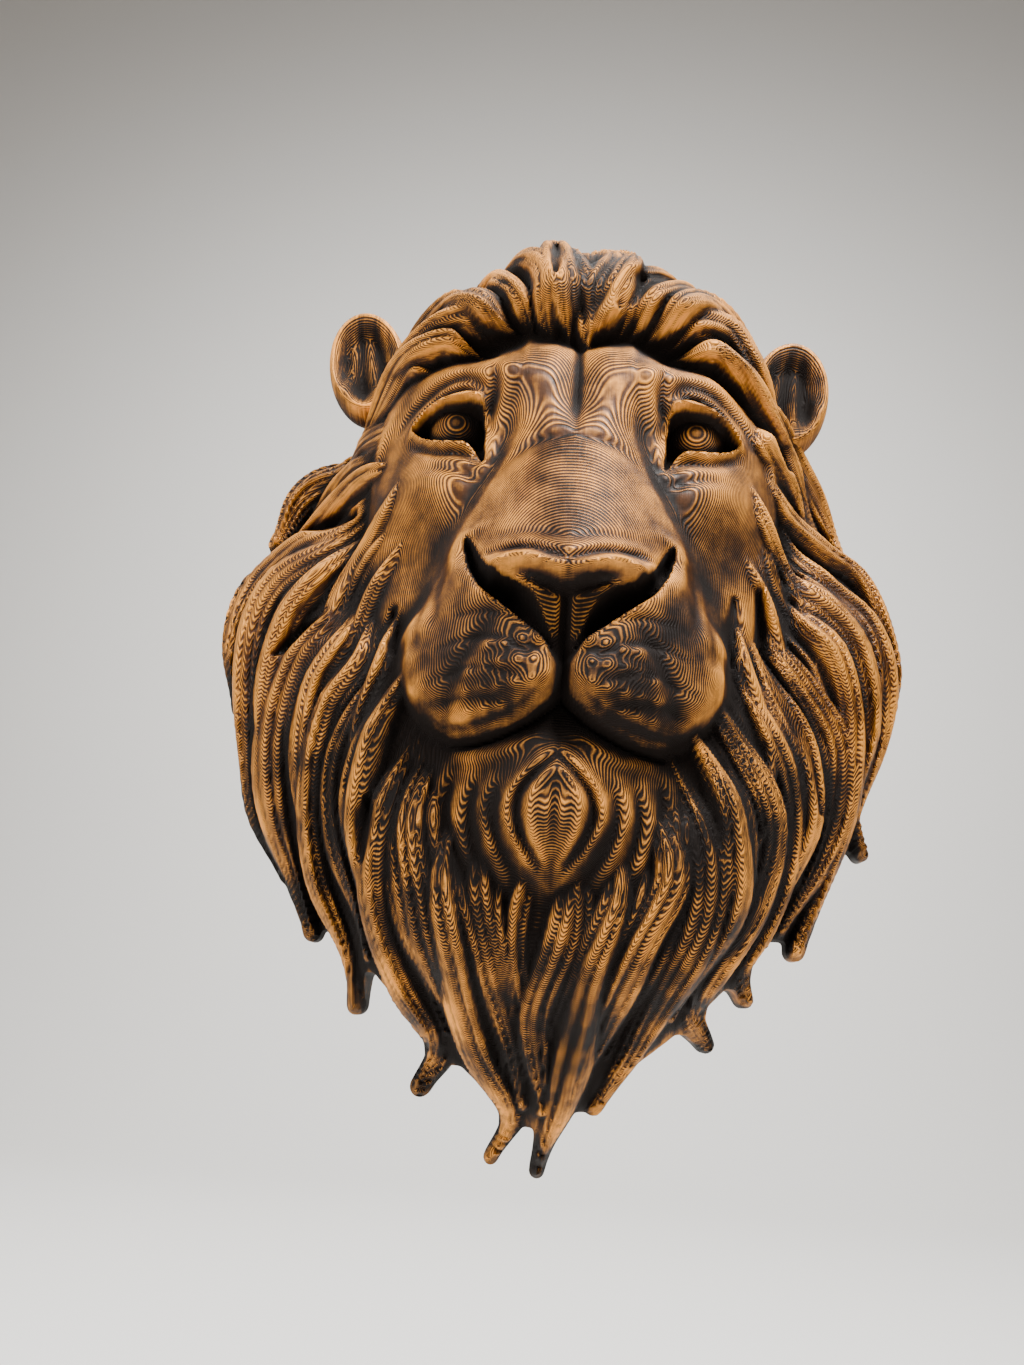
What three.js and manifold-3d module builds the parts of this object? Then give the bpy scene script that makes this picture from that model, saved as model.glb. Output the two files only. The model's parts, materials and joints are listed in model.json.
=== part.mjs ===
// Lion head wall mask: one carved body with a flat back, made to hang on a wall.
// Millimetres. +Z is up, the face looks along -Y and the flat back lies in the plane y = 0.
// The origin is on the back, on the midline, level with the nostrils.
// Depth means distance off the wall, so a point at depth d has y = -d.
import * as THREE from 'three';
import { mergeVertices } from 'three/addons/utils/BufferGeometryUtils.js';
import Module from 'manifold-3d';

const wasm = await Module();
wasm.setup();

// The mane's body
const MANE_BOTTOM = 108;        // radius straight down, to where the beard ends
const MANE_SIDE = 81;           // radius straight to the side
const MANE_TOP = 109;           // radius straight up
const MANE_CORE = 0.945;        // the plain body stops here and the locks reach on past it
const CROWN_CORE = 0.905;       // and here over the forehead
const LOCK_REACH = 18;          // no lock reaches further past it than this
const LOCK_CREASE = 6;          // how far a lock's sides drop into the creases beside it
const LOCK_FULLNESS = 1.08;     // the locks overlap by this much over their half widths
const ROOT_REACH = 6;           // a lock's root runs this far in under the skin of the face
const MANE_EDGE = 4;            // depth of the body at its rim
const MANE_RISE = 36;           // how far the middle of the body stands over its rim
const BEARD_RISE = 9;           // more of it below
const CROWN_RISE = 11;          // more of it above

// The bare face
const FACE_HALF_WIDTH = 47;
const FACE_HALF_HEIGHT = 49;
const FACE_Z = 24;              // height of the face's middle
const FACE_EDGE = 29;           // depth where the face meets the mane
const FACE_RISE = 20.5;

// Nose, eyes, mouth and ears
const NOSE_Z = 2.7;             // height of the rim of the nose
const NOSE_DEPTH = 66.2;        // the foremost point of the mask
const EYE_X = 26;
const EYE_Z = 44.6;
const EYE_RADIUS = 7;
const EYE_FLOOR = 39;           // depth of the socket behind the eyeball
const MOUTH_Z = -18.6;          // where the upper lips part
const CHIN_Z = -38;
const EAR_HALF_WIDTH = 10;
const EAR_HALF_HEIGHT = 15.5;
const EAR_DEPTH = 20;           // depth of the middle of the ear
const EAR_WALL = 2.2;
const CUP_DROP = 6;             // the middle of its cup stands this far before it

// How finely the solids are faceted
const GRID = 256;               // cells along each side of the finest grid, a power of two
const FACET_ERROR = 1.28;       // how far a facet may stray from the carved surface
const LOCK_STEPS = 16;
const OUTLINE_POINTS = 240;

// Share of the full turn between two of the mane's radii, from straight down to straight up
const MANE_PROFILE = [
  MANE_BOTTOM, 0.87 * MANE_BOTTOM, 0.787 * MANE_BOTTOM, 0.988 * MANE_SIDE, 0.975 * MANE_SIDE,
  0.975 * MANE_SIDE, MANE_SIDE, 0.988 * MANE_SIDE, 0.951 * MANE_SIDE, 0.963 * MANE_SIDE,
  0.804 * MANE_TOP, 0.907 * MANE_TOP, MANE_TOP,
];

// Profiles as [place, value] stations. Heights count from the rim of the nose or the parting of the lips.
const RIDGE_DROP = [
  [73, 21.2], [63, 17.7], [57, 15.2], [51, 13.9], [43, 12.9], [35, 11.6], [25, 8.4], [15, 4.8],
  [7, 1.8], [2.3, 0], [-3, 1.8], [-9, 5.2], [-15, 6.4], [-21, 7], [-27, 9], [-34, 13],
];
const SNOUT_HALF_WIDTH = [
  [60, 12], [50, 12.5], [42, 12.5], [36, 13.6], [30, 15.8], [22, 19.6], [15, 23], [8, 25.6], [3, 28],
  [-7, 32.4], [-16, 33], [-24, 30], [-31, 25],
];
const SNOUT_EDGE = [
  [60, 46], [44, 48], [36, 50], [28, 51], [15, 50.5], [8, 49.5], [3, 48.5], [-7, 46.5], [-20, 44], [-31, 40],
];
const SNOUT_ROUNDNESS = [[40, 2.6], [25, 2.4], [8, 1.9], [2, 1.9], [-12, 2.4]];
const SNOUT_FALL = [[40, 0.7], [25, 0.8], [10, 0.95], [4, 0.9], [-12, 0.62]];
const NOSE_PAD_HALF_WIDTH = [
  [4.3, 16.5], [0.3, 14.5], [-1.7, 10.8], [-3.7, 8.4], [-7.7, 5.6], [-12.7, 2.8], [-17, 2],
];
const NOSE_PAD_DROP = [[4.3, 0.2], [0.3, 1.2], [-2.7, 3], [-7.7, 5.2], [-12.7, 7.6], [-17, 9.7]];
const NOSTRIL_INNER = [
  [10.3, 21], [9.3, 20.4], [5.3, 18.4], [2.3, 16.8], [-0.2, 14], [-1.7, 10.5],
  [-3.7, 8.2], [-6.7, 6], [-9.7, 4.3], [-12.7, 2.8], [-15.7, 1.6],
];
const NOSTRIL_OUTER = [
  [10.3, 21.6], [9.3, 21.4], [5.3, 20.6], [2.3, 19.6], [-0.2, 18], [-1.7, 16.8],
  [-3.7, 14.8], [-6.7, 11.2], [-9.7, 7.6], [-12.7, 4.6], [-15.7, 2],
];
const LIP_LINE = [[0, 0], [3, -3], [6.5, -6], [13.5, -9.2], [20, -10.2], [24.5, -9], [29, -6], [33, -1]];
const UPPER_LID = [
  [-6.8, -10.5], [-6.2, -7], [-5.8, -1], [-5.3, 2.8], [-4, 4.3], [-1, 5.2], [3, 4.8], [6.5, 2.8], [9.6, 0],
  [12, -2.6],
];
const LOWER_LID = [
  [-6.8, -10.5], [-6.2, -10.7], [-5.4, -9.6], [-4, -7.4], [-2, -5.8], [2, -5.2], [5.5, -4.3], [8, -3],
  [9.8, -1.4], [12, 1.4],
];
const CHIN_PETAL = [[8, 1], [4, 6], [-1, 9.4], [-6, 9.8], [-10.5, 7.6], [-14.5, 3.4], [-17, 0.6]];

// Soft swellings and hollows of the face, the same on both sides: how far out from the midline,
// height over the eyes or over the mouth, half width, half height and rise
const SKULL_FORMS = [
  { out: 14, over: 10, wide: 7.5, tall: 8.5, rise: 4.2 },          // inner end of the brow
  { out: 26, over: 12, wide: 10, tall: 4.6, rise: 2.6 },           // brow over the eye
  { out: 32, over: -14.5, wide: 9, tall: 9, rise: 2.4 },           // cheek bone
  { out: 36, over: -30.5, wide: 7, tall: 9, rise: -2 },            // hollow of the cheek
  { out: 22, over: 19, wide: 5, tall: 7, rise: -1.6 },             // dip between the brows' ends
];
const MUZZLE_FORMS = [
  { out: 10, over: 4, wide: 9, tall: 9, rise: 1.9 },               // lobe of the upper lip
  { out: 31, over: 12.6, wide: 3.2, tall: 3.2, rise: 1.2 },        // folds of its flank
  { out: 31.5, over: 5.6, wide: 3, tall: 3, rise: 1.1 },
  { out: 28, over: -0.6, wide: 3.4, tall: 3.2, rise: 1 },
];

// A lock runs over the mane from root to tip: [x, z] points, half width, half thickness.
// CROWN locks stand up from the hairline and MANE locks come out from under the face.
const CROWN = { root: 0, middle: 2.6, tip: 1 };
const MANE = { root: -2.5, middle: 1.4, tip: 0.6 };
const LOCKS = [
  // over the forehead, from the middle to the left
  [[[1, 69], [-1, 78], [-3.3, 90], [-3.5, 103]], 4.6, 4.2, CROWN],
  [[[-3, 71], [-4.5, 84], [-8, 95], [-15, 102], [-21, 100]], 4.6, 4.4, CROWN],
  [[[-7, 71], [-9.5, 81], [-14, 90], [-21, 96], [-29, 97]], 4.4, 4.4, CROWN],
  [[[-13, 71], [-17.5, 79.5], [-22.5, 87], [-29.5, 89.5], [-35, 85]], 4, 4.2, CROWN],
  [[[-17, 70], [-23.5, 74], [-32, 77], [-40, 74], [-46, 70], [-49, 65]], 4, 4, CROWN],
  [[[-21.5, 68], [-27, 70.5], [-35, 70], [-42, 66.5], [-48, 61.5], [-57.5, 56]], 4, 4.2, CROWN],
  [[[-26, 64], [-31, 66], [-36, 64], [-43.5, 60.5], [-52, 55], [-60, 52]], 3.6, 3.8, CROWN],
  // left temple and side
  [[[-35, 60], [-41, 60], [-47, 55], [-53, 50]], 2.8, 3.2, MANE],
  [[[-43, 47], [-53, 50], [-62, 49], [-70, 43], [-75, 32]], 6.6, 4.8, MANE],
  [[[-45, 38], [-54, 37], [-64, 34], [-73, 27]], 3.6, 3.4, MANE],
  [[[-46, 33], [-56, 28], [-68, 25], [-78, 18], [-82, 3], [-79, -13]], 5, 4.4, MANE],
  [[[-47, 28], [-57, 21], [-69, 13], [-73, 0], [-72, -22], [-70, -38], [-61, -52]], 5.8, 4.4, MANE],
  [[[-48, 22], [-56, 13], [-64, 4], [-67, -10], [-66, -26], [-64, -42]], 4.6, 4.2, MANE],
  [[[-48, 12], [-52, 3], [-59, -7], [-62, -22], [-61, -40], [-58, -54], [-54, -65]], 6, 4.6, MANE],
  // left cheek and beard
  [[[-45, 6], [-47, -4], [-54, -14], [-57, -28], [-54, -44], [-50, -58]], 4.2, 4, MANE],
  [[[-41, 2], [-43, -9], [-50, -19], [-52, -33], [-49, -52], [-43, -67], [-42, -80]], 5.2, 4.4, MANE],
  [[[-37, -9], [-42, -20], [-46, -33], [-44, -48], [-40, -60], [-38, -70]], 4, 4, MANE],
  [[[-32, -16], [-38, -27], [-40, -40], [-38, -54], [-36, -66]], 3.6, 3.6, MANE],
  [[[-29, -28], [-33, -42], [-33, -58], [-28, -74], [-22, -86], [-26, -96]], 5.2, 4.6, MANE],
  [[[-25, -32], [-28, -46], [-25, -62], [-19, -76], [-15, -88]], 4.2, 4.2, MANE],
  [[[-20, -42], [-21, -56], [-16, -71], [-11, -86], [-5.5, -99], [-9.5, -109]], 4.6, 4.2, MANE],
  [[[-13, -48], [-12, -62], [-9, -76], [-5, -88], [-3, -97]], 4.2, 4, MANE],
  // over the forehead, from the middle to the right
  [[[2.5, 70], [3.5, 79], [6, 90], [2.5, 104]], 4.6, 4.4, CROWN],
  [[[4, 70], [8, 79], [11, 88], [8, 97]], 4, 4.2, CROWN],
  [[[8.7, 70], [11, 77], [15.5, 83], [21, 88], [25, 90]], 4, 4, CROWN],
  [[[12.5, 70], [17, 77.5], [24, 83.5], [32, 86], [38, 83]], 4.6, 4.2, CROWN],
  [[[17, 69.5], [22.5, 75], [30.5, 78.5], [38, 76.5], [44, 72.5], [50.5, 65]], 4.4, 4.2, CROWN],
  [[[21, 67.5], [26, 71], [34, 72], [39, 68], [45, 61], [53, 56.5], [57, 50]], 4, 4.2, CROWN],
  [[[25, 65], [31, 66.5], [36.5, 62.5], [42.5, 56], [51, 52], [56, 49]], 3.4, 3.4, CROWN],
  // right temple and side
  [[[36, 56], [44, 57], [52, 53], [60, 46], [66, 38], [71, 29]], 5, 4.2, MANE],
  [[[41, 50], [46, 46], [52, 40], [57, 34]], 3.2, 3.4, MANE],
  [[[43, 42], [50, 34], [60, 29], [70, 26], [76, 17], [80, 6], [79, -4]], 4.4, 4, MANE],
  [[[45, 34], [51, 25], [60, 19], [70, 13], [74, 0], [73, -16], [69, -30]], 4.8, 4.2, MANE],
  [[[46, 26], [50, 17], [58, 11], [65, 3], [69, -12], [67.5, -28], [71.5, -39]], 4.6, 4.2, MANE],
  [[[48, 14], [52, 7], [60, 0], [65, -12], [65, -28], [61, -45], [56, -62]], 4.8, 4.2, MANE],
  // right cheek and beard
  [[[44, 10], [45, 1], [52, -7], [60, -18], [61, -32], [58, -45], [51, -58]], 5, 4.4, MANE],
  [[[40, 0], [44, -11], [51, -22], [54, -36], [50, -50], [47, -61]], 4.2, 4, MANE],
  [[[35, -8], [41, -17], [48, -29], [49, -42], [45, -56], [41.5, -66], [44.5, -73]], 4.6, 4.2, MANE],
  [[[31, -17], [38, -27], [43, -39], [41, -52], [34, -66], [31, -76], [36, -83]], 5, 4.4, MANE],
  [[[27, -26], [34, -38], [36, -52], [31, -66], [26, -78]], 4, 4, MANE],
  [[[23, -30], [29, -43], [29, -57], [23, -72], [18, -86], [12, -97]], 5.4, 4.6, MANE],
  [[[19, -38], [23, -52], [18, -66], [12, -80], [8, -92]], 4.4, 4.2, MANE],
  [[[12, -48], [13, -60], [7, -74], [4, -88], [3, -100], [0.5, -111]], 4.8, 4.2, MANE],
  [[[3, -52], [2, -66], [-1, -80], [0, -90], [1, -98]], 4, 3.8, MANE],
];
const EARS = [
  { x: -53.5, z: 74, lean: 0.16 },
  { x: 52, z: 70, lean: -0.12 },
];

const clamp = THREE.MathUtils.clamp;

function ramp(from, to, value) {
  const t = clamp((value - from) / (to - from), 0, 1);
  return t * t * (3 - 2 * t);
}

function bell(u, v, power = 2) {
  return Math.exp(-(Math.abs(u) ** power + Math.abs(v) ** power));
}

// The larger of two depths, with the join rounded over the given width
function blend(a, b, width) {
  const h = clamp(0.5 + 0.5 * (a - b) / width, 0, 1);
  return b + (a - b) * h + width * h * (1 - h);
}

// Smooth curve through stations, without overshoot
function along(stations, place) {
  const rows = stations[0][0] < stations[1][0] ? stations : [...stations].reverse();
  const last = rows.length - 1;
  const at = clamp(place, rows[0][0], rows[last][0]);
  let i = 0;
  while (i < last - 1 && at > rows[i + 1][0]) i += 1;
  const grade = (k) => (rows[k + 1][1] - rows[k][1]) / (rows[k + 1][0] - rows[k][0]);
  const slope = (k) => {
    if (k === 0) return grade(0);
    if (k === last) return grade(last - 1);
    const product = grade(k - 1) * grade(k);
    return product > 0 ? 2 * product / (grade(k - 1) + grade(k)) : 0;
  };
  const span = rows[i + 1][0] - rows[i][0];
  const t = (at - rows[i][0]) / span;
  const rise = 3 * t * t - 2 * t * t * t;
  const lead = t - 2 * t * t + t * t * t;
  const trail = t * t * t - t * t;
  return rows[i][1] * (1 - rise) + rows[i + 1][1] * rise + span * (slope(i) * lead + slope(i + 1) * trail);
}

const MANE_STATIONS = MANE_PROFILE.map((radius, i) => [-90 + 180 * i / (MANE_PROFILE.length - 1), radius]);

function maneRadius(x, z) {
  return along(MANE_STATIONS, THREE.MathUtils.radToDeg(Math.atan2(z, Math.abs(x))));
}

// Depth of the body that carries the locks: a dome, boxier over the crown
function maneDepth(x, z) {
  const r = Math.hypot(x, z);
  const sine = z / Math.max(r, 1e-6);
  const up = ramp(0.45, 0.95, sine);
  const down = ramp(0.2, 1, -sine);
  const share = clamp(1 - (r / maneRadius(x, z)) ** (2.5 + 5.5 * up), 0, 1);
  return MANE_EDGE + (MANE_RISE + BEARD_RISE * down + CROWN_RISE * up) * share ** (0.75 - 0.25 * up);
}

function swelling(forms, ax, height) {
  return forms.reduce((sum, form) => (
    sum + form.rise * bell((ax - form.out) / form.wide, (height - form.over) / form.tall)
  ), 0);
}

// 1 on the rim of the bare face and less inside
function faceShare(x, z) {
  return (Math.abs(x) / FACE_HALF_WIDTH) ** 2.6 + (Math.abs(z - FACE_Z + 2) / FACE_HALF_HEIGHT) ** 2.8;
}

function skullDepth(ax, z) {
  const upright = (Math.abs(z - FACE_Z) / FACE_HALF_HEIGHT) ** (z > FACE_Z ? 4 : 2.8);
  const q = (ax / FACE_HALF_WIDTH) ** 2.5 + upright;
  const fullness = 0.62 - 0.22 * ramp(FACE_Z + 11, FACE_Z + 34, z);
  const plain = FACE_EDGE + FACE_RISE * clamp(1 - q, 0, 1) ** fullness - 60 * Math.max(q - 1, 0);
  return plain + swelling(SKULL_FORMS, ax, z - EYE_Z);
}

// The bridge and the flanks in one form that widens from between the eyes down to the muzzle
function snoutDepth(ax, z) {
  const half = along(SNOUT_HALF_WIDTH, z);
  const edge = along(SNOUT_EDGE, z);
  const ridge = NOSE_DEPTH - along(RIDGE_DROP, z - NOSE_Z);
  const arch = clamp(1 - (ax / half) ** along(SNOUT_ROUNDNESS, z), 0, 1) ** along(SNOUT_FALL, z);
  const ends = 0.35 * Math.max(z - 62, 0) ** 1.5 + 3 * Math.max(-30 - z, 0) ** 1.3;
  return edge + (ridge - edge) * arch - 2.2 * Math.max(ax - half, 0) - ends;
}

// Fullness under the cheeks and the chin that the hair grows from
function jowlDepth(ax, z) {
  const q = (ax / 46) ** 2.4 + (Math.abs(z + 22) / 56) ** 2.4;
  return 28 + 18 * clamp(1 - q, 0, 1) ** 0.5 - 30 * Math.max(q - 1, 0);
}

// Almond opening, heavy upper lid, thin lower lid; the eyeball is a sphere of its own
function carveEye(ax, z, depth) {
  const across = ax - EYE_X;
  const upper = EYE_Z + along(UPPER_LID, across);
  const lower = EYE_Z + along(LOWER_LID, across);
  const room = Math.min(upper - z, z - lower);
  const open = ramp(-0.6, 1.4, room) * ramp(-7.4, -6, across);
  let d = depth;
  d += 2.1 * bell(0, (z - upper - 1) / 1.5) * ramp(-6.4, -4.4, across) * ramp(12.5, 9.5, across);
  d += 1.3 * bell(0, (z - lower + 0.8) / 1.2) * ramp(-5, -2, across) * ramp(12, 9, across);
  const floor = EYE_FLOOR + 1.5 - 0.25 * across + 0.5 * Math.max(EYE_Z - 3.6 - z, 0);
  return d * (1 - open) + floor * open;
}

// The snout with the lobes of the upper lip, cut off along the line of the mouth
function muzzleDepth(ax, z) {
  const over = z - MOUTH_Z - along(LIP_LINE, ax);
  const d = snoutDepth(ax, z) + swelling(MUZZLE_FORMS, ax, z - MOUTH_Z);
  return d - 2.6 * (1 - clamp(over / 5, 0, 1)) ** 2 - 16 * ramp(0.2, -2.6, over);
}

// Leather of the nose under its rolled rim, with a crescent nostril each side
function carveNose(ax, z, depth) {
  const h = z - NOSE_Z;
  const bow = 0.009 * ax * ax;
  const half = along(NOSE_PAD_HALF_WIDTH, h);
  const groove = 1.9 * bell(ax / 0.9, 0) * ramp(-0.7, -5.7, h);
  const pad = NOSE_DEPTH - along(NOSE_PAD_DROP, h) - 0.012 * ax * ax - groove;
  const inPad = ramp(1, -1, ax - half) * ramp(0.8, -1.2, h - bow) * ramp(-17.7, -14.7, h);
  const inner = along(NOSTRIL_INNER, h);
  const outer = along(NOSTRIL_OUTER, h);
  const reach = Math.max((outer - inner) / 2, 0.05);
  const ends = ramp(11.3, 8.3, h) * ramp(-16.2, -13.7, h);
  const hole = bell((ax - (inner + outer) / 2) / (1.05 * reach), 0, 5) * ends;
  let d = depth * (1 - inPad) + pad * inPad;
  d -= Math.min(14, 4.2 * reach) * hole;
  d += 1.7 * bell(0, (h - bow) / 1.3) * ramp(16, 13.5, ax);
  d += 1.3 * bell((ax - 15.4) / 1.5, (h - 0.9) / 2.6);
  return d;
}

// A low broad dome under the mouth with a fold shaped like an onion
function chinDepth(ax, z) {
  const h = z - CHIN_Z;
  let d = jowlDepth(ax, z) - 0.6;
  d += 8 * bell(ax / 19, (h - 2) / 18, 2.6) + 2.2 * bell(ax / 9, (h + 4) / 13, 2.2);
  d += 2.4 * bell((ax - along(CHIN_PETAL, h)) / 1.7, 0) * ramp(-18, -15, h) * ramp(9, 6, h);
  const over = z - MOUTH_Z - along(LIP_LINE, ax);
  return d - 9 * ramp(-1.8, 0.8, over);
}

function faceDepth(x, z) {
  const ax = Math.abs(x);
  let d = blend(skullDepth(ax, z), muzzleDepth(ax, z), 1.2 + 3.8 * ramp(-12, 8, z));
  d -= (1.1 * bell(x / 1.4, 0) + 1.8 * bell(x / 4.5, 0)) * ramp(36, 50, z) * ramp(76, 68, z);
  d = carveEye(ax, z, d);
  d = carveNose(ax, z, d);
  const inCleft = ramp(MOUTH_Z + 6.6, MOUTH_Z + 3.6, z) * ramp(MOUTH_Z - 5.4, MOUTH_Z - 1.4, z);
  d -= 4.5 * bell(ax / 1.3, 0) * inCleft;
  return blend(d, chinDepth(ax, z), 0.8);
}

// The mane's body with the jowls, lowered under the bare face and along the hairline
function bodyDepth(x, z) {
  const inFace = ramp(1, 0.7, faceShare(x, z)) * ramp(70, 60, z);
  const hairline = bell((faceShare(x, z) - 0.95) / 0.22, 0) * ramp(44, 58, z);
  return blend(maneDepth(x, z) - 1.5 - 12 * inFace - 4.5 * hairline, jowlDepth(Math.abs(x), z), 4);
}

// What the locks lie on
function groundDepth(x, z) {
  const skull = blend(skullDepth(Math.abs(x), z), snoutDepth(Math.abs(x), z), 5);
  return Math.max(blend(bodyDepth(x, z), skull, 6), MANE_EDGE);
}

// A lock's path with its depth, width and thickness at each step from root to tip
function lockSteps([points, halfWidth, halfThickness, lift]) {
  const stations = points.map(([x, z]) => new THREE.Vector3(x, 0, z));
  const inward = stations[0].clone().sub(stations[1]).setLength(ROOT_REACH);
  stations.unshift(stations[0].clone().add(inward));
  const path = new THREE.CatmullRomCurve3(stations, false, 'catmullrom', 0.5);
  const steps = [];
  for (let i = 0; i <= LOCK_STEPS; i += 1) {
    const s = i / LOCK_STEPS;
    const { x, z } = path.getPoint(s);
    const growth = ramp(0, 0.3, s);
    const taper = 1 - 0.68 * ramp(0.62, 1, s);
    const fromRoot = lift.root + (lift.middle - lift.root) * ramp(0, 0.35, s);
    const rise = fromRoot + (lift.tip - lift.middle) * ramp(0.6, 1, s);
    steps.push({
      x,
      z,
      depth: groundDepth(x, z) + rise,
      width: LOCK_FULLNESS * halfWidth * (0.2 + 0.8 * growth) * taper,
      thickness: halfThickness * (0.3 + 0.7 * growth) * (0.4 + 0.6 * taper),
    });
  }
  return steps;
}

const LOCK_PATHS = LOCKS.map(lockSteps);

// Depth of the nearest part of one lock, rounded across, or 0 beside it
function lockDepth(steps, x, z) {
  let nearest = Infinity;
  let depth = 0;
  for (let i = 0; i < steps.length - 1; i += 1) {
    const a = steps[i];
    const b = steps[i + 1];
    const dx = b.x - a.x;
    const dz = b.z - a.z;
    const t = clamp(((x - a.x) * dx + (z - a.z) * dz) / (dx * dx + dz * dz), 0, 1);
    const gap = Math.hypot(x - a.x - t * dx, z - a.z - t * dz);
    if (gap < nearest) {
      nearest = gap;
      const across = gap / (a.width + t * (b.width - a.width));
      const body = a.thickness + t * (b.thickness - a.thickness);
      const middle = a.depth + t * (b.depth - a.depth);
      depth = across < 1 ? middle + body * Math.sqrt(1 - across * across) - LOCK_CREASE * across ** 4 : 0;
    }
  }
  return depth;
}

function headDepth(x, z) {
  const carved = blend(bodyDepth(x, z), faceDepth(x, z), 6 - 4.8 * ramp(5, -8, z));
  return Math.max(carved, MANE_EDGE, ...LOCK_PATHS.map((steps) => lockDepth(steps, x, z)));
}

function solidOf(geometry) {
  const bare = geometry.index ? geometry.toNonIndexed() : geometry.clone();
  bare.deleteAttribute('normal');
  bare.deleteAttribute('uv');
  const merged = mergeVertices(bare, 1e-5);
  return new wasm.Manifold(new wasm.Mesh({
    numProp: 3,
    vertProperties: new Float32Array(merged.attributes.position.array),
    triVerts: new Uint32Array(merged.index.array),
  }));
}

function geometryOf(solid) {
  const mesh = solid.getMesh();
  const geometry = new THREE.BufferGeometry();
  geometry.setAttribute('position', new THREE.BufferAttribute(mesh.vertProperties, 3));
  geometry.setIndex(new THREE.BufferAttribute(mesh.triVerts, 1));
  geometry.computeVertexNormals();
  return geometry;
}

// How far the carving strays from each right-angled triangle of the grid, smallest triangles first.
// Halving a triangle adds its midpoint.
function splitErrors(heights, cell) {
  const errors = new Float32Array(heights.length);
  const count = 2 * GRID * GRID - 2;
  for (let i = count - 1; i >= 0; i -= 1) {
    const lower = [0, 0, GRID, GRID, GRID, 0];
    const upper = [GRID, GRID, 0, 0, 0, GRID];
    let [ax, az, bx, bz, cx, cz] = (i + 2) & 1 ? lower : upper;
    for (let id = (i + 2) >> 1; id > 1; id >>= 1) {
      const mx = (ax + bx) / 2;
      const mz = (az + bz) / 2;
      if (id & 1) [bx, bz, ax, az] = [ax, az, cx, cz];
      else [ax, az, bx, bz] = [bx, bz, cx, cz];
      [cx, cz] = [mx, mz];
    }
    const mx = (ax + bx) / 2;
    const mz = (az + bz) / 2;
    const middle = mz * (GRID + 1) + mx;
    const [atA, atB] = [heights[az * (GRID + 1) + ax], heights[bz * (GRID + 1) + bx]];
    const slope = (atA - atB) / (cell * Math.hypot(ax - bx, az - bz));
    const stray = Math.abs((atA + atB) / 2 - heights[middle]) / Math.hypot(1, slope);
    let error = Math.max(errors[middle], stray);
    if (i < count - GRID * GRID) {
      const left = ((az + cz) / 2) * (GRID + 1) + (ax + cx) / 2;
      const right = ((bz + cz) / 2) * (GRID + 1) + (bx + cx) / 2;
      error = Math.max(error, errors[left], errors[right]);
    }
    errors[middle] = error;
  }
  return errors;
}

// A block whose front follows the head's depth with fewer, larger facets where it is plain.
// It reaches a little behind the wall plane, and the outline cuts it off there.
function headBlock() {
  const halfWidth = MANE_SIDE + 6;
  const middle = (MANE_TOP - MANE_BOTTOM) / 2;
  const halfHeight = (MANE_TOP + MANE_BOTTOM) / 2 + 5;
  const back = 2;
  const xAt = (i) => halfWidth * (2 * i / GRID - 1);
  const zAt = (j) => middle + halfHeight * (2 * j / GRID - 1);
  const heights = new Float32Array((GRID + 1) ** 2);
  for (let j = 0; j <= GRID; j += 1) {
    for (let i = 0; i <= GRID; i += 1) heights[j * (GRID + 1) + i] = headDepth(xAt(i), zAt(j));
  }
  const errors = splitErrors(heights, 2 * halfWidth / GRID);
  const corners = [];
  const facet = (ax, az, bx, bz, cx, cz) => {
    const mx = (ax + bx) / 2;
    const mz = (az + bz) / 2;
    const canSplit = Math.abs(ax - cx) + Math.abs(az - cz) > 1;
    if (canSplit && errors[mz * (GRID + 1) + mx] > FACET_ERROR) {
      facet(cx, cz, ax, az, mx, mz);
      facet(bx, bz, cx, cz, mx, mz);
    } else {
      for (const [i, j] of [[ax, az], [cx, cz], [bx, bz]]) {
        corners.push(xAt(i), -heights[j * (GRID + 1) + i], zAt(j));
      }
    }
  };
  facet(0, 0, GRID, GRID, GRID, 0);
  facet(GRID, GRID, 0, 0, 0, GRID);
  closeBlock(corners, back);
  const geometry = new THREE.BufferGeometry();
  geometry.setAttribute('position', new THREE.Float32BufferAttribute(corners, 3));
  return solidOf(geometry);
}

// Adds the four sides and the back: each edge of the front that has no neighbour drops straight to the back
function closeBlock(corners, back) {
  const key = (k) => `${corners[3 * k]} ${corners[3 * k + 2]}`;
  const open = new Map();
  for (let t = 0; t < corners.length / 9; t += 1) {
    for (let e = 0; e < 3; e += 1) {
      const from = 3 * t + e;
      const to = 3 * t + (e + 1) % 3;
      if (!open.delete(`${key(to)} ${key(from)}`)) open.set(`${key(from)} ${key(to)}`, [from, to]);
    }
  }
  const at = (k, y) => [corners[3 * k], y ?? corners[3 * k + 1], corners[3 * k + 2]];
  for (const [from, to] of open.values()) {
    corners.push(...at(to), ...at(from), ...at(from, back));
    corners.push(...at(to), ...at(from, back), ...at(to, back));
    corners.push(...at(to, back), ...at(from, back), 0, back, 0);
  }
}

// How far the mask reaches from the origin at one angle: its body, or the last lock on the way out
function outlineReach(angle) {
  const [alongX, alongZ] = [Math.cos(angle), Math.sin(angle)];
  const core = MANE_CORE + (CROWN_CORE - MANE_CORE) * ramp(0.75, 0.95, alongZ);
  const body = core * maneRadius(alongX, alongZ);
  let reach = body;
  for (let r = body; r < body + LOCK_REACH; r += 0.4) {
    if (LOCK_PATHS.some((steps) => lockDepth(steps, r * alongX, r * alongZ) > 0)) reach = r;
  }
  return new THREE.Vector2(reach * alongX, reach * alongZ);
}

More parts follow.
